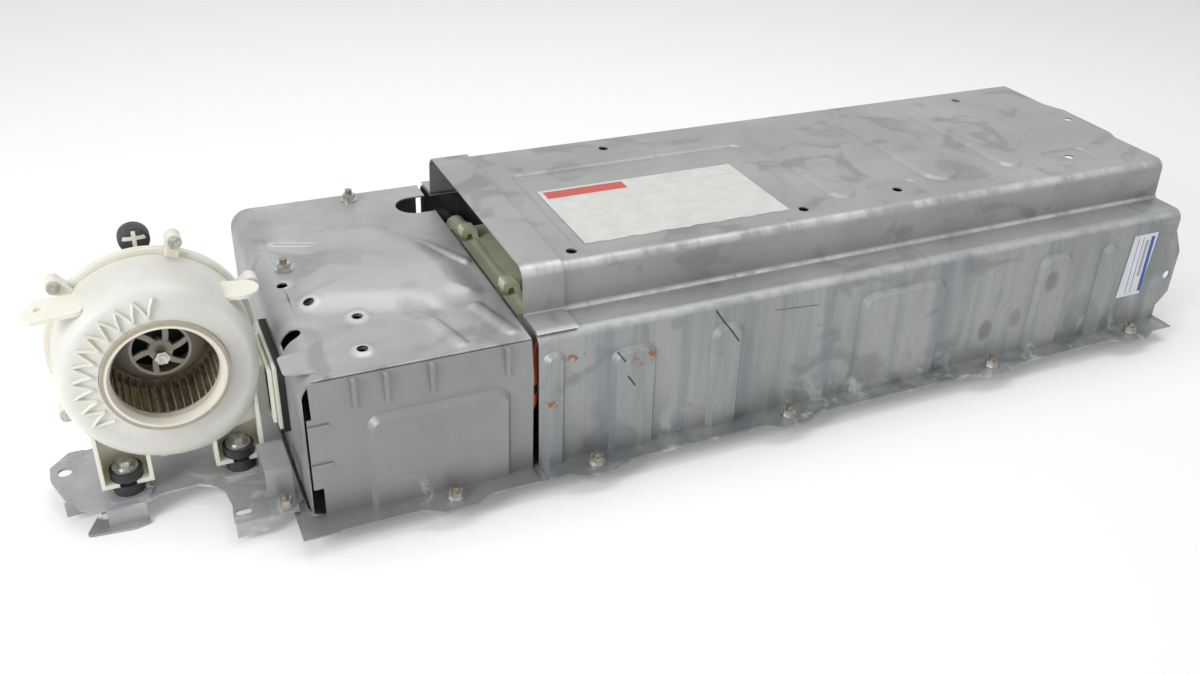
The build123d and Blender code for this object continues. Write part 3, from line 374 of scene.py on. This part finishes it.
def blower_plastic(settings):
    """Natural polypropylene: cream, milky, with brown dust on the inlet ring and in the corners, and a darker
    brown inside the inlet funnel that is partly dust and partly painted shade.
    """
    f = Finish("blower_plastic", Subsurface_Weight=0.25, Subsurface_Radius=(0.012, 0.010, 0.006),
               Subsurface_Scale=0.6,
               Specular_IOR_Level=0.45)
    radius = ((f.x - FAN_AXIS[0]) ** 2.0 + (f.z - FAN_AXIS[1]) ** 2.0) ** 0.5
    mottle = f.noise(18.0, 4.0, 0.6)
    colour = f.mix(mottle.rise(0.35, 0.75), settings.blower, (0.74, 0.72, 0.62))
    lip = f.noise(70.0, 5.0, 0.7)
    front = f.y.rise(-0.084, -0.0862)
    ring = radius.rise(0.0402, 0.0414) * radius.rise(0.0440, 0.0436) * front
    colour = f.mix(ring * (0.55 + lip * 0.4), colour, (0.27, 0.20, 0.13))
    # Brown inside the inlet funnel: partly dust, partly painted shade in the recess.
    funnel_dust_and_shade = radius.rise(0.0425, 0.037) * f.y.rise(-0.090, -0.078)
    colour = f.mix(funnel_dust_and_shade * (0.25 + lip * 0.35), colour, (0.42, 0.35, 0.26))
    dust = lip.rise(0.55, 0.72) * f.z.rise(0.16, 0.05)
    colour = f.mix(dust * 0.25, colour, (0.55, 0.50, 0.40))
    grain = f.noise(700.0, 2.0, 0.5)
    return f.done(colour, 0.42 + (mottle - 0.5) * 0.2, height=grain * 0.3 + mottle, depth=0.0004,
                  strength=0.3)


def wheel_plastic(settings):
    """The fan wheel: the same plastic under years of brown dust, thickest on the blades."""
    f = Finish("wheel_plastic")
    radius = ((f.x - FAN_AXIS[0]) ** 2.0 + (f.z - FAN_AXIS[1]) ** 2.0) ** 0.5
    dirt = f.noise(150.0, 5.0, 0.65)
    clean = f.mix(dirt, (0.62, 0.60, 0.54), (0.42, 0.38, 0.31))
    dusty = f.mix(dirt.rise(0.35, 0.7), (0.58, 0.50, 0.38), (0.33, 0.26, 0.18))
    colour = f.mix(radius.rise(0.030, 0.038), clean, dusty)
    return f.done(colour, 0.75, height=dirt, depth=0.0006, strength=0.5)


def rubber(name, base=(0.035, 0.036, 0.04)):
    """Dark rubber or foam with a dusty bloom."""
    f = Finish(name, Specular_IOR_Level=0.3)
    bloom = f.noise(120.0, 4.0, 0.65)
    colour = f.mix(bloom.rise(0.45, 0.75) * 0.5, base, tuple(v * 2.4 + 0.02 for v in base))
    return f.done(colour, 0.62 + (bloom - 0.5) * 0.3, height=bloom, depth=0.0004, strength=0.4)


def cap_rubber(x, z, front):
    """Black rubber with the pale cross of the peg that it holds."""
    f = Finish("cap_rubber", Specular_IOR_Level=0.4)
    bar = abs(f.x - x).rise(0.0016, 0.0013).most(abs(f.z - z - 0.0035).rise(0.0016, 0.0013))
    face = f.y.rise(front - 0.0018,
                    front - 0.0022) * ((f.x - x) ** 2.0 + (f.z - z) ** 2.0).rise(0.0088 ** 2, 0.0082 ** 2)
    dust = f.noise(120.0, 4.0, 0.65)
    colour = f.mix(dust.rise(0.4, 0.75) * 0.5, (0.035, 0.036, 0.038), (0.10, 0.10, 0.10))
    return f.done(f.mix(bar * face, colour, (0.72, 0.71, 0.62)), 0.55, height=dust, depth=0.0004,
                  strength=0.4)


def cable_jacket(settings):
    """Orange insulation with wraps of black tape."""
    f = Finish("cable_jacket", Specular_IOR_Level=0.45)
    tape = (f.z.rise(0.079, 0.0795) * f.z.rise(0.0875, 0.087)).most(f.z.rise(0.0585, 0.058))
    fade = f.noise(80.0, 3.0)
    orange = f.mix(fade, settings.cable, tuple(v * 0.6 for v in settings.cable))
    return f.done(f.mix(tape, orange, (0.02, 0.02, 0.022)), 0.45, height=fade, depth=0.0003)


def printed_label(name, bands, paper):
    """Pale film with plain colour fields. Each band is low and high in two axes, and a colour."""
    f = Finish(name, Specular_IOR_Level=0.5)
    wear = f.noise(55.0, 5.0, 0.7)
    colour = f.mix(wear.rise(0.3, 0.75), paper, tuple(v * 0.86 for v in paper))
    for axes, low, high, ink in bands:
        along, up = (f.x, f.y) if axes == "deck" else (f.x, f.z)
        soft = 0.0004
        inside = along.rise(low[0], low[0] + soft) * along.rise(high[0], high[0] - soft)
        inside = inside * up.rise(low[1], low[1] + soft) * up.rise(high[1], high[1] - soft)
        colour = f.mix(inside * wear.rise(0.20, 0.28), colour, ink)
    return f.done(colour, 0.38 + wear * 0.2, height=wear, depth=0.0003, strength=0.3)


# ---------------------------------------------------------------- surfaces
def surface_mesh(name, *grids):
    """One mesh from grids of points, each rows by columns. Each grid says if its rows and columns close."""
    places, faces, count = [], [], 0
    for points, closed_rows, closed_columns in grids:
        rows, columns = points.shape[:2]
        index = np.arange(rows * columns).reshape(rows, columns) + count
        if closed_rows:
            index = np.vstack([index, index[:1]])
        if closed_columns:
            index = np.hstack([index, index[:, :1]])
        quads = np.stack([index[:-1, :-1], index[1:, :-1], index[1:, 1:], index[:-1, 1:]], axis=-1)
        places.append(points.reshape(-1, 3))
        faces.append(quads.reshape(-1, 4))
        count += rows * columns
    places, faces = np.concatenate(places), np.concatenate(faces)
    mesh = bpy.data.meshes.new(name)
    mesh.vertices.add(len(places))
    mesh.vertices.foreach_set("co", places.reshape(-1).astype(np.float32))
    mesh.loops.add(faces.size)
    mesh.loops.foreach_set("vertex_index", faces.reshape(-1).astype(np.int32))
    mesh.polygons.add(len(faces))
    mesh.polygons.foreach_set("loop_start", np.arange(0, faces.size, 4, dtype=np.int32))
    mesh.update(calc_edges=True)
    mesh.polygons.foreach_set("use_smooth", np.ones(len(faces), dtype=bool))
    mesh.validate()
    mesh.set_sharp_from_angle(angle=math.radians(42))
    return mesh


def turned(profile, centre=FAN_AXIS, steps=96):
    """A closed profile of radius and Y, turned round an axis along Y."""
    profile = np.array(profile)
    angle = np.linspace(0, 2 * math.pi, steps, endpoint=False)[:, None]
    x = centre[0] + profile[None, :, 0] * np.cos(angle)
    z = centre[1] + profile[None, :, 0] * np.sin(angle)
    y = np.broadcast_to(profile[None, :, 1], x.shape)
    return np.stack([x, y, z], axis=-1), True, True


def capped(rows):
    """A closed bar from equal rings of points, its two ends drawn in to their middles."""
    rows = [np.array(row) for row in rows]
    first = np.broadcast_to(rows[0].mean(axis=0), rows[0].shape)
    last = np.broadcast_to(rows[-1].mean(axis=0), rows[-1].shape)
    return np.stack([first, *rows, last]), False, True


def volute_radius(angle):
    """The scroll's radius at an angle in degrees: it grows evenly, then falls back past the outlet."""
    share = np.clip(angle / SCROLL_TURN, 0, 1)
    past = np.clip((angle - SCROLL_TURN) / (360 - SCROLL_TURN), 0, 1)
    return SCROLL_LOW + (SCROLL_HIGH - SCROLL_LOW) * (share - past ** 2 * (3 - 2 * past))


def shoulder_y(radius, wall):
    """Y of the domed face: ((r - a) / (wall - a))^n + ((y - b) / (face - b))^n = 1 outside a, a cone inside."""
    share = np.clip((radius - DOME_START) / (wall - DOME_START), 0, 1)
    dome = DOME_BACK + (DOME_FACE - DOME_BACK) * (1 - share ** DOME_POWER) ** (1 / DOME_POWER)
    cone = DOME_FACE + (COLLAR_Y - DOME_FACE) * (DOME_START - radius) / (DOME_START - COLLAR_R)
    return np.where(radius < DOME_START, cone, dome)


def volute_skin():
    """The scroll's domed front and wall, from the inlet's collar to the parting flange."""
    angle = np.linspace(0, 360, 240, endpoint=False)[:, None]
    wall = volute_radius(angle) + SKIN_GAP
    turn = np.linspace(0, 1, 26)[None, :] * math.pi / 2
    dome_r = DOME_START + (wall - DOME_START) * np.sin(turn) ** (2 / DOME_POWER)
    dome_y = DOME_BACK + (DOME_FACE - DOME_BACK) * np.cos(turn) ** (2 / DOME_POWER)
    cone_r = np.linspace(COLLAR_R, DOME_START, 6, endpoint=False)[None, :] + 0 * wall
    tail_y = np.linspace(DOME_BACK, SKIN_END, 4)[None, 1:] + 0 * wall
    radius = np.hstack([cone_r, dome_r, wall + 0 * tail_y])
    y = np.hstack([shoulder_y(cone_r, wall), dome_y + 0 * wall, tail_y])
    radius = np.hstack([radius, radius[:, ::-1] - SKIN_THICK])
    y = np.hstack([y, y[:, ::-1] + SKIN_THICK])
    x = FAN_AXIS[0] + radius * np.cos(np.radians(angle))
    z = FAN_AXIS[1] + radius * np.sin(np.radians(angle))
    return np.stack([x, y, z], axis=-1), True, True


def truss_rib(start, end, width=0.0017, height=0.0026):
    """A low rib on the domed face between two places given as radius and angle in degrees."""
    share = np.linspace(0, 1, 7)
    radius = start[0] + (end[0] - start[0]) * share
    angle = np.radians(start[1] + (end[1] - start[1]) * share)
    y = shoulder_y(radius, volute_radius(np.degrees(angle)) + SKIN_GAP)
    line = np.stack([FAN_AXIS[0] + radius * np.cos(angle), y, FAN_AXIS[1] + radius * np.sin(angle)], axis=-1)
    along = line[-1] - line[0]
    across = np.array([along[2], 0.0, -along[0]]) / math.hypot(along[0], along[2])
    section = ((-0.62, 0.5), (-0.40, -0.8), (-0.2, -1.0), (0.2, -1.0), (0.40, -0.8), (0.62, 0.5))
    return capped([[p + across * (u * width) + np.array([0, v * height, 0]) for u,
                    v in section] for p in line])


def fan_blade(angle, front, back, steps=6):
    """One forward-curved blade: its angle leans by 5.5 degrees times the square of the way out."""
    share = np.linspace(0, 1, steps)
    radius = BLADE_IN + (BLADE_OUT - BLADE_IN) * share
    lean = np.radians(angle + 6.5 * share ** 2)
    half = BLADE_THICK / 2 * (1 - 0.3 * share)
    loop_r = np.concatenate([radius, radius[::-1]])
    loop_a = np.concatenate([lean + half / radius, (lean - half / radius)[::-1]])
    ring = np.stack([FAN_AXIS[0] + loop_r * np.cos(loop_a), 0 * loop_r,
                     FAN_AXIS[1] + loop_r * np.sin(loop_a)], axis=-1)
    return capped([ring + np.array([0, y, 0]) for y in np.linspace(front, back, 3)])


def spoke(angle, inner, outer, low, high, width, thick):
    """One wheel spoke from inner to outer radius, its Y from low to high, swept a little as it goes."""
    rows = []
    for share in np.linspace(0, 1, 6):
        radius, y = inner + (outer - inner) * share, low + (high - low) * share
        turn = math.radians(angle + 16 * share)
        middle = np.array([FAN_AXIS[0] + radius * math.cos(turn), y, FAN_AXIS[1] + radius * math.sin(turn)])
        side = np.array([-math.sin(turn), 0, math.cos(turn)]) * width / 2
        deep = np.array([0, thick / 2, 0])
        rows.append([middle - side - deep, middle + side - deep, middle + side + deep, middle - side + deep])
    return capped(rows)


def polygon_depth(x, y, corners):
    """Distance inside a polygon's outline, negative outside it."""
    corners = np.array(corners)
    depth = np.full(x.shape, 1e9)
    inside = np.zeros(x.shape, dtype=bool)
    for (ax, ay), (bx, by) in zip(corners, np.roll(corners, -1, axis=0)):
        dx, dy = bx - ax, by - ay
        along = np.clip(((x - ax) * dx + (y - ay) * dy) / (dx * dx + dy * dy), 0, 1)
        depth = np.minimum(depth, np.hypot(x - ax - along * dx, y - ay - along * dy))
        crosses = (ay > y) != (by > y)
        inside ^= crosses & (x < ax + dx * (y - ay) / (dy if abs(dy) > 1e-9 else 1e-9))
    return np.where(inside, depth, -depth)


def smooth_step(value, low, high):
    """0 below low, 1 above high, smooth between."""
    share = np.clip((value - low) / (high - low), 0, 1)
    return share ** 2 * (3 - 2 * share)


def pressed_top():
    """The box's top as one pressed sheet: a broad swell, slim beads and low seats round the holes."""
    x, y = np.meshgrid(np.linspace(-0.3915, -0.2405, 150), np.linspace(-0.1455, 0.1415, 280))
    rise = 0.0066 * smooth_step(polygon_depth(x, y, TOP_SWELL), -0.017, 0.013)
    for ax, ay, bx, by, high in TOP_BEADS:
        along = np.clip(((x - ax) * (bx - ax) + (y - ay) * (by - ay)) / ((bx - ax) ** 2 + (by - ay) ** 2),
                        0, 1)
        gap = np.hypot(x - ax - along * (bx - ax), y - ay - along * (by - ay))
        rise = np.maximum(rise, high * smooth_step(gap, 0.0068, 0.0022))
    for px, py, reach, high in TOP_SEATS:
        rise = rise + high * smooth_step(np.hypot(x - px, y - py), reach, reach * 0.55)
    soft = np.array([1, 4, 6, 4, 1]) / 16
    for axis in (0, 1):
        padded = np.pad(rise, [(2, 2) if a == axis else (0, 0) for a in (0, 1)], mode="edge")
        rise = sum(w * np.take(padded, range(k, k + rise.shape[axis]), axis=axis) for k, w in enumerate(soft))
    top = np.stack([x, y, LEDGE_TOP + 0.00016 + rise], axis=-1)
    under = top - np.array([0, 0, 0.0001])
    return np.concatenate([top, under[::-1]], axis=0), True, False


def place(name, mesh, material, body="pack", replaces=()):
    """Adds a finished piece to the scene, rides it on a body, and hides the parts that it stands for."""
    piece = bpy.data.objects.new(name, mesh)
    bpy.context.scene.collection.objects.link(piece)
    piece.data.materials.append(material)
    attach(piece, body)
    if replaces:
        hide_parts(*replaces)
    return piece


def label_sheet(name, corners, thickness, wave, rows=24, columns=48):
    """A thin closed sheet on four corners: bilinear between them, its edges nibbled by a sum of sines."""
    low, right, far, left = [np.array(c) for c in corners]
    u = np.linspace(0, 1, columns)[None, :, None]
    v = np.linspace(0, 1, rows)[:, None, None]
    top = (1 - u) * (1 - v) * low + u * (1 - v) * right + u * v * far + (1 - u) * v * left
    normal = np.cross(right - low, left - low)
    normal = normal / np.linalg.norm(normal)
    ripple = wave * (np.sin(37 * u + 3 * v) + 0.6 * np.sin(83 * u + 1.7)) * np.where(v < 0.5 / rows, 1.0, 0.0)
    direction = (left - low) / np.linalg.norm(left - low)
    top = top + ripple * direction
    bottom = top - thickness * normal
    points = np.concatenate([top, bottom[::-1]], axis=0)
    return surface_mesh(name, (points, True, False))


def corrugated_tube(name, route, radius, fold, folds, around=28, along=240):
    """A tube along a smooth route, its radius r + fold * cos(2 pi folds s), with round closed ends."""
    route = np.array(route)
    steps = np.linspace(0, 1, len(route))
    s = np.linspace(0, 1, along)
    path = np.stack([np.interp(s, steps, route[:, k]) for k in range(3)], axis=1)
    kernel = np.hanning(along // 4)
    kernel = kernel / kernel.sum()
    pad = len(kernel) // 2
    smooth = np.stack([np.convolve(np.pad(path[:, k], pad, mode="edge"), kernel,
                                   "same")[pad:-pad] for k in range(3)], axis=1)
    blend = np.clip(np.minimum(s, 1 - s) * 12, 0, 1)[:, None]
    path = path * (1 - blend) + smooth * blend
    tangent = np.gradient(path, axis=0)
    tangent = tangent / np.linalg.norm(tangent, axis=1, keepdims=True)
    side = np.cross(tangent, np.array([1.0, 0.05, 0.0]))
    side = side / np.linalg.norm(side, axis=1, keepdims=True)
    over = np.cross(tangent, side)
    size = radius + fold * np.cos(2 * math.pi * folds * s)
    size = size * np.clip(np.minimum(s, 1 - s) * along, 0.02, 1)
    angle = np.linspace(0, 2 * math.pi, around, endpoint=False)
    ring = np.cos(angle)[None, :, None] * side[:, None] + np.sin(angle)[None, :, None] * over[:, None]
    return surface_mesh(name, (path[:, None] + size[:, None, None] * ring, False, True))


# ---------------------------------------------------------------- settings
class BatteryPackLooks(bpy.types.PropertyGroup):
    """What a user would change."""

    steel: bpy.props.FloatVectorProperty(name="Steel", description="Colour of the galvanised covers",
                                         subtype="COLOR",
                                         size=3, min=0.0, max=1.0, default=(0.295, 0.307, 0.300))
    blower: bpy.props.FloatVectorProperty(name="Blower", description="Colour of the blower's mouldings",
                                          subtype="COLOR",
                                          size=3, min=0.0, max=1.0, default=(0.83, 0.82, 0.73))
    cable: bpy.props.FloatVectorProperty(name="Cable", description="Colour of the high-voltage lead",
                                         subtype="COLOR",
                                         size=3, min=0.0, max=1.0, default=(0.80, 0.13, 0.04))
    film: bpy.props.FloatProperty(name="Label thickness", description="Thickness of the label films",
                                  subtype="DISTANCE",
                                  unit="LENGTH", min=0.0001, max=0.001, default=0.0004)
    lamp: bpy.props.FloatProperty(name="Lamp", description="Power of the overhead lamp", min=0.0,
                                  default=10.0)


def looks(context):
    """The settings as plain values."""
    group = context.scene.battery_pack_looks

    class Plain:
        steel = tuple(group.steel)
        blower = tuple(group.blower)
        cable = tuple(group.cable)
        film = group.film
        lamp = group.lamp

    return Plain


def dress(material, *names):
    """Gives CAD nodes a finish."""
    for name in names:
        node = NODES[name]
        for slot in node.material_slots:
            slot.material = material
        if not node.material_slots:
            node.data.materials.append(material)


# ---------------------------------------------------------------- operators
class PACK_OT_covers(bpy.types.Operator):
    """Finish the long cover, the junction box, its panel and the tray"""

    bl_idname = "pack.covers"
    bl_label = "Covers and tray"

    def execute(self, context):
        settings = looks(context)
        dress(cover_steel(settings), "battery_cover")
        dress(box_steel(settings), "junction_cover")
        place("pressed_top", surface_mesh("pressed_top", pressed_top()), box_steel(settings, True))
        dress(panel_steel(settings), "junction_front")
        dress(tray_steel(settings), "lower_tray")
        return {"FINISHED"}


class PACK_OT_inside(bpy.types.Operator):
    """Finish the modules, end plates, duct, control unit and relays"""

    bl_idname = "pack.inside"
    bl_label = "Battery inside"

    def execute(self, context):
        modules = [name for name in NODES if name.startswith("module_")]
        dress(moulding("module_case", (0.045, 0.046, 0.05)), *modules)
        dress(moulding("black_moulding", (0.03, 0.03, 0.032)), "end_plate_left", "end_plate_right",
              "busbar_frame_front", "busbar_frame_rear")
        dress(moulding("duct_plastic", (0.66, 0.69, 0.50), 0.08, 0.45, Subsurface_Weight=0.1), "air_duct",
              "loom_connector")
        dress(moulding("relay_plastic", (0.05, 0.05, 0.05)), "relay_block")
        dress(plated_steel("ecu_case", (0.55, 0.55, 0.55), 0.0), "battery_ecu")
        return {"FINISHED"}


class PACK_OT_blower(bpy.types.Operator):
    """Finish the blower, its wheel, motor, cap and seal"""

    bl_idname = "pack.blower"
    bl_label = "Blower"

    def execute(self, context):
        settings = looks(context)
        cream = blower_plastic(settings)
        dress(cream, "blower_shell", "inlet_ring", "blower_back", "outlet_duct")
        ribs = []
        for n in range(TRUSS_LEGS):
            low, high = TRUSS_FROM + n * TRUSS_STEP, TRUSS_FROM + (n + 1) * TRUSS_STEP
            ends = ((TRUSS_IN, low), (TRUSS_OUT, high)) if n % 2 else ((TRUSS_OUT, low), (TRUSS_IN, high))
            ribs.append(truss_rib(*ends))
        place("volute_skin", surface_mesh("volute_skin", volute_skin(), *ribs), cream)
        front, back = WHEEL_FRONT, WHEEL_BACK
        rings = [turned(((0.0405, front), (0.047, front), (0.047, front + 0.0035), (0.0405, front + 0.0035))),
                 turned(((0.047, back - 0.0018), (0.047, back), (0.040, back), (0.022, back - 0.0215),
                         (0.0205, back - 0.0215),
                         (0.0195, back - 0.024), (0.0215, back - 0.0245), (0.039, back - 0.0018))),
                 turned(((0.0001, back - 0.026), (0.0085, back - 0.026), (0.0085, back - 0.021),
                         (0.0001, back - 0.021))),
                 turned(((0.0001, back - 0.031), (0.0036, back - 0.031), (0.0042, back - 0.026),
                         (0.0001, back - 0.026)), steps=24)]
        blades = [fan_blade(360.0 * n / BLADES, front + 0.001, back - 0.001) for n in range(BLADES)]
        spokes = [spoke(60.0 * n, 0.0075, 0.0205, back - 0.0245, back - 0.0225, 0.0042,
                        0.0022) for n in range(6)]
        place("wheel", surface_mesh("wheel", *rings, *blades, *spokes), wheel_plastic(settings),
              "fan",
              replaces=("fan_wheel",))
        dress(rubber("foam_seal", (0.02, 0.02, 0.021)), "duct_seal")
        dress(rubber("grommet_rubber"), "grommet_left", "grommet_right")
        low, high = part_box("vent_cap")
        x, z = (low[0] + high[0]) / 2, (low[2] + high[2]) / 2
        neck = turned(((0.0001, low[1]), (0.0085, low[1]), (0.0085, low[1] + 0.010),
                       (0.0001, low[1] + 0.010)), (x, z), 40)
        riser = ((-0.006, 0), (0.006, 0), (0.006, 0.008), (-0.006, 0.008))
        stem = capped([[(x + a, low[1] + 0.001 + b, h) for a, b in riser] for h in np.linspace(z,
            z + CAP_RISE, 4)])
        bulge = ((0.0001, -0.0045), (0.0070, -0.0040), (0.0105, -0.0015), (0.0112, 0.002), (0.0112, 0.008),
                 (0.009, 0.0105),
                 (0.0001, 0.0115))
        dome = turned([(r, low[1] + y) for r, y in bulge], (x, z + CAP_RISE), 48)
        place("top_cap", surface_mesh("top_cap", neck, stem, dome), cap_rubber(x, z + CAP_RISE, low[1]),
              replaces=("vent_cap",))
        dress(moulding("motor_black", (0.03, 0.03, 0.033), 0.1, 0.35), "blower_motor")
        return {"FINISHED"}


class PACK_OT_fasteners(bpy.types.Operator):
    """Finish the brackets, nuts, studs, bolts and rods"""

    bl_idname = "pack.fasteners"
    bl_label = "Brackets and fasteners"

    def execute(self, context):
        settings = looks(context)
        bright = plated_steel("plated_nuts", (0.62, 0.61, 0.58), 0.12)
        dress(bright, "flange_nuts", "foot_bolts", "housing_screws", "tie_rods", "fan_shaft")
        dress(plated_steel("rusted_studs", (0.40, 0.35, 0.28), 0.55), "flange_studs")
        dress(bracket_steel(settings), "blower_bracket", "strap_bracket")
        return {"FINISHED"}


class PACK_OT_leads(bpy.types.Operator):
    """Make the corrugated loom and finish the orange lead"""

    bl_idname = "pack.leads"
    bl_label = "Loom and lead"

    def execute(self, context):
        low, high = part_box("loom_tube")
        x = (low[0] + high[0]) / 2
        route = [(x + 0.002, low[1], high[2] - 0.0066), (x + 0.002, low[1] + 0.022, high[2] - 0.0066),
                 (x - 0.0018, high[1] - 0.0068, high[2] - 0.0105), (x - 0.0018, high[1] - 0.0068, low[2])]
        mesh = corrugated_tube("loom", route, 0.0054, 0.0009, 22)
        place("loom", mesh, rubber("loom_plastic", (0.018, 0.018, 0.02)),
              replaces=("loom_tube",))
        dress(cable_jacket(looks(context)), "hv_cable")
        return {"FINISHED"}


class PACK_OT_labels(bpy.types.Operator):
    """Lay the two plain labels on the cover"""

    bl_idname = "pack.labels"
    bl_label = "Labels"

    def execute(self, context):
        settings = looks(context)
        x0, x1, y0, y1 = -0.171, 0.016, -0.085, 0.018
        z = DECK_TOP - 0.0016 + settings.film
        corners = ((x0, y0, z), (x1, y0, z), (x1, y1, z), (x0, y1, z))
        rule, red = (0.30, 0.30, 0.31), (0.52, 0.075, 0.06)
        bands = [("deck", (x0 + 0.004, y1 - 0.017), (x0 + 0.078, y1 - 0.003), red)]
        bands += [("deck", (x0 + 0.004, y1 - 0.0195), (x1 - 0.004, y1 - 0.0188), rule)]
        bands += [("deck", (x0 + 0.004, y0 + 0.043), (x1 - 0.030, y0 + 0.0436), rule)]
        material = printed_label("deck_label", bands, (0.66, 0.66, 0.63))
        place("deck_label", label_sheet("deck_label", corners, settings.film, 0.0006), material)
        lean = (0.1536 - 0.150) / (0.129 - 0.0148)
        sx0, sx1, sz0, sz1 = 0.356, 0.386, 0.048, 0.112
        wall = [-(0.1536 - lean * (z - 0.0148)) - settings.film for z in (sz0, sz1)]
        corners = ((sx0, wall[0], sz0), (sx1, wall[0], sz0), (sx1 + 0.004, wall[1], sz1),
                   (sx0 + 0.004, wall[1], sz1))
        blue = (0.03, 0.10, 0.36)
        bands = [("wall", (sx1 - 0.004, sz0 + 0.003), (sx1 + 0.001, sz1 - 0.003), blue),
                 ("wall", (sx0 + 0.010, sz0 + 0.003), (sx0 + 0.0112, sz1 - 0.003), blue),
                 ("wall", (sx0 + 0.016, sz0 + 0.003), (sx0 + 0.0172, sz1 - 0.003), blue),
                 ("wall", (sx0 + 0.020, sz0 + 0.02), (sx0 + 0.024, sz1 - 0.006), (0.35, 0.37, 0.42))]
        material = printed_label("wall_label", bands, (0.78, 0.80, 0.84))
        place("wall_label", label_sheet("wall_label", corners, settings.film, 0.0), material)
        return {"FINISHED"}


CAMERA_PLACE = (-0.50368, -0.81192, 0.56530)
CAMERA_RIGHT = (0.9106144, -0.41148439, 0.03823617)
CAMERA_DOWN = (-0.18407144, -0.48670151, -0.85395512)
CAMERA_AHEAD = (0.36999881, 0.77058564, -0.51893993)


class PACK_OT_stage(bpy.types.Operator):
    """Set the floor, the studio light and the camera"""

    bl_idname = "pack.stage"
    bl_label = "Studio"

    def execute(self, context):
        scene = context.scene
        reach = 30.0
        points = np.array([[[-reach, -reach, 0], [reach, -reach, 0]],
                           [[-reach, reach, 0], [reach, reach, 0]]])
        points[..., 2] = CAD_BOX[0][2] - 0.0002
        mesh = surface_mesh("floor", (points.transpose(1, 0, 2), False, False))
        floor = bpy.data.objects.new("floor", mesh)
        scene.collection.objects.link(floor)
        f = Finish("floor_paper", Specular_IOR_Level=0.0, Emission_Color=(1.0, 1.0, 1.0, 1.0),
                   Emission_Strength=0.12)
        floor.data.materials.append(f.done((0.93, 0.93, 0.93), 0.9))
        world = bpy.data.worlds.new("studio")
        world.use_nodes = True
        scene.world = world
        tree = world.node_tree
        back = tree.nodes["Background"]
        path = tree.nodes.new("ShaderNodeLightPath")
        seen = path.outputs["Is Camera Ray"]
        for ray in ("Is Glossy Ray", "Is Transmission Ray"):
            either = tree.nodes.new("ShaderNodeMath")
            either.operation = "ADD"
            either.use_clamp = True
            tree.links.new(seen, either.inputs[0])
            tree.links.new(path.outputs[ray], either.inputs[1])
            seen = either.outputs[0]
        level = tree.nodes.new("ShaderNodeMapRange")
        tree.links.new(seen, level.inputs["Value"])
        level.inputs["To Min"].default_value = 0.52
        level.inputs["To Max"].default_value = 1.0
        back.inputs["Color"].default_value = (1.0, 1.0, 1.0, 1.0)
        tree.links.new(level.outputs[0], back.inputs["Strength"])
        lamps = (("overhead", (0.1, 0.2, 1.5), (0.0, 0.0, 0.1), (1.8, 0.9), looks(context).lamp),
                 ("left", (-1.7, -0.7, 0.9), (-0.1, 0.0, 0.1), (0.7, 0.7), looks(context).lamp * 1.5))
        for name, spot, target, (wide, deep), power in lamps:
            data = bpy.data.lights.new(name, "AREA")
            data.shape = "RECTANGLE"
            data.size, data.size_y, data.energy = wide, deep, power
            lamp = bpy.data.objects.new(name, data)
            lamp.location = spot
            lamp.rotation_euler = (Vector(target) - Vector(spot)).to_track_quat("-Z", "Y").to_euler()
            scene.collection.objects.link(lamp)
        data = bpy.data.cameras.new("camera")
        data.sensor_width = 36.0
        data.lens = 34.387
        data.clip_start = 0.01
        camera = bpy.data.objects.new("camera", data)
        columns = (CAMERA_RIGHT, [-v for v in CAMERA_DOWN], [-v for v in CAMERA_AHEAD])
        turn = Matrix([[columns[c][r] for c in range(3)] for r in range(3)]).to_4x4()
        camera.matrix_world = Matrix.Translation(CAMERA_PLACE) @ turn
        scene.collection.objects.link(camera)
        scene.camera = camera
        scene.view_settings.view_transform = "Standard"
        return {"FINISHED"}


class PACK_PT_looks(bpy.types.Panel):
    """Lists the settings and the steps"""

    bl_label = "Battery pack"
    bl_idname = "PACK_PT_looks"
    bl_space_type = "VIEW_3D"
    bl_region_type = "UI"
    bl_category = "Battery pack"

    def draw(self, context):
        for key in ("steel", "blower", "cable", "film", "lamp"):
            self.layout.prop(context.scene.battery_pack_looks, key)
        for step in STEPS:
            self.layout.operator(step.bl_idname)


STEPS = (PACK_OT_covers, PACK_OT_inside, PACK_OT_blower, PACK_OT_fasteners, PACK_OT_leads, PACK_OT_labels,
         PACK_OT_stage)
CLASSES = (BatteryPackLooks, *STEPS, PACK_PT_looks)


def register():
    """Registers the classes and the settings."""
    for item in CLASSES:
        bpy.utils.register_class(item)
    bpy.types.Scene.battery_pack_looks = bpy.props.PointerProperty(type=BatteryPackLooks)


def unregister():
    """Takes them away again."""
    del bpy.types.Scene.battery_pack_looks
    for item in reversed(CLASSES):
        bpy.utils.unregister_class(item)


def main():
    """Runs every step in order."""
    register()
    for step in STEPS:
        group, name = step.bl_idname.split(".")
        getattr(getattr(bpy.ops, group), name)()


if __name__ == "__main__":
    main()
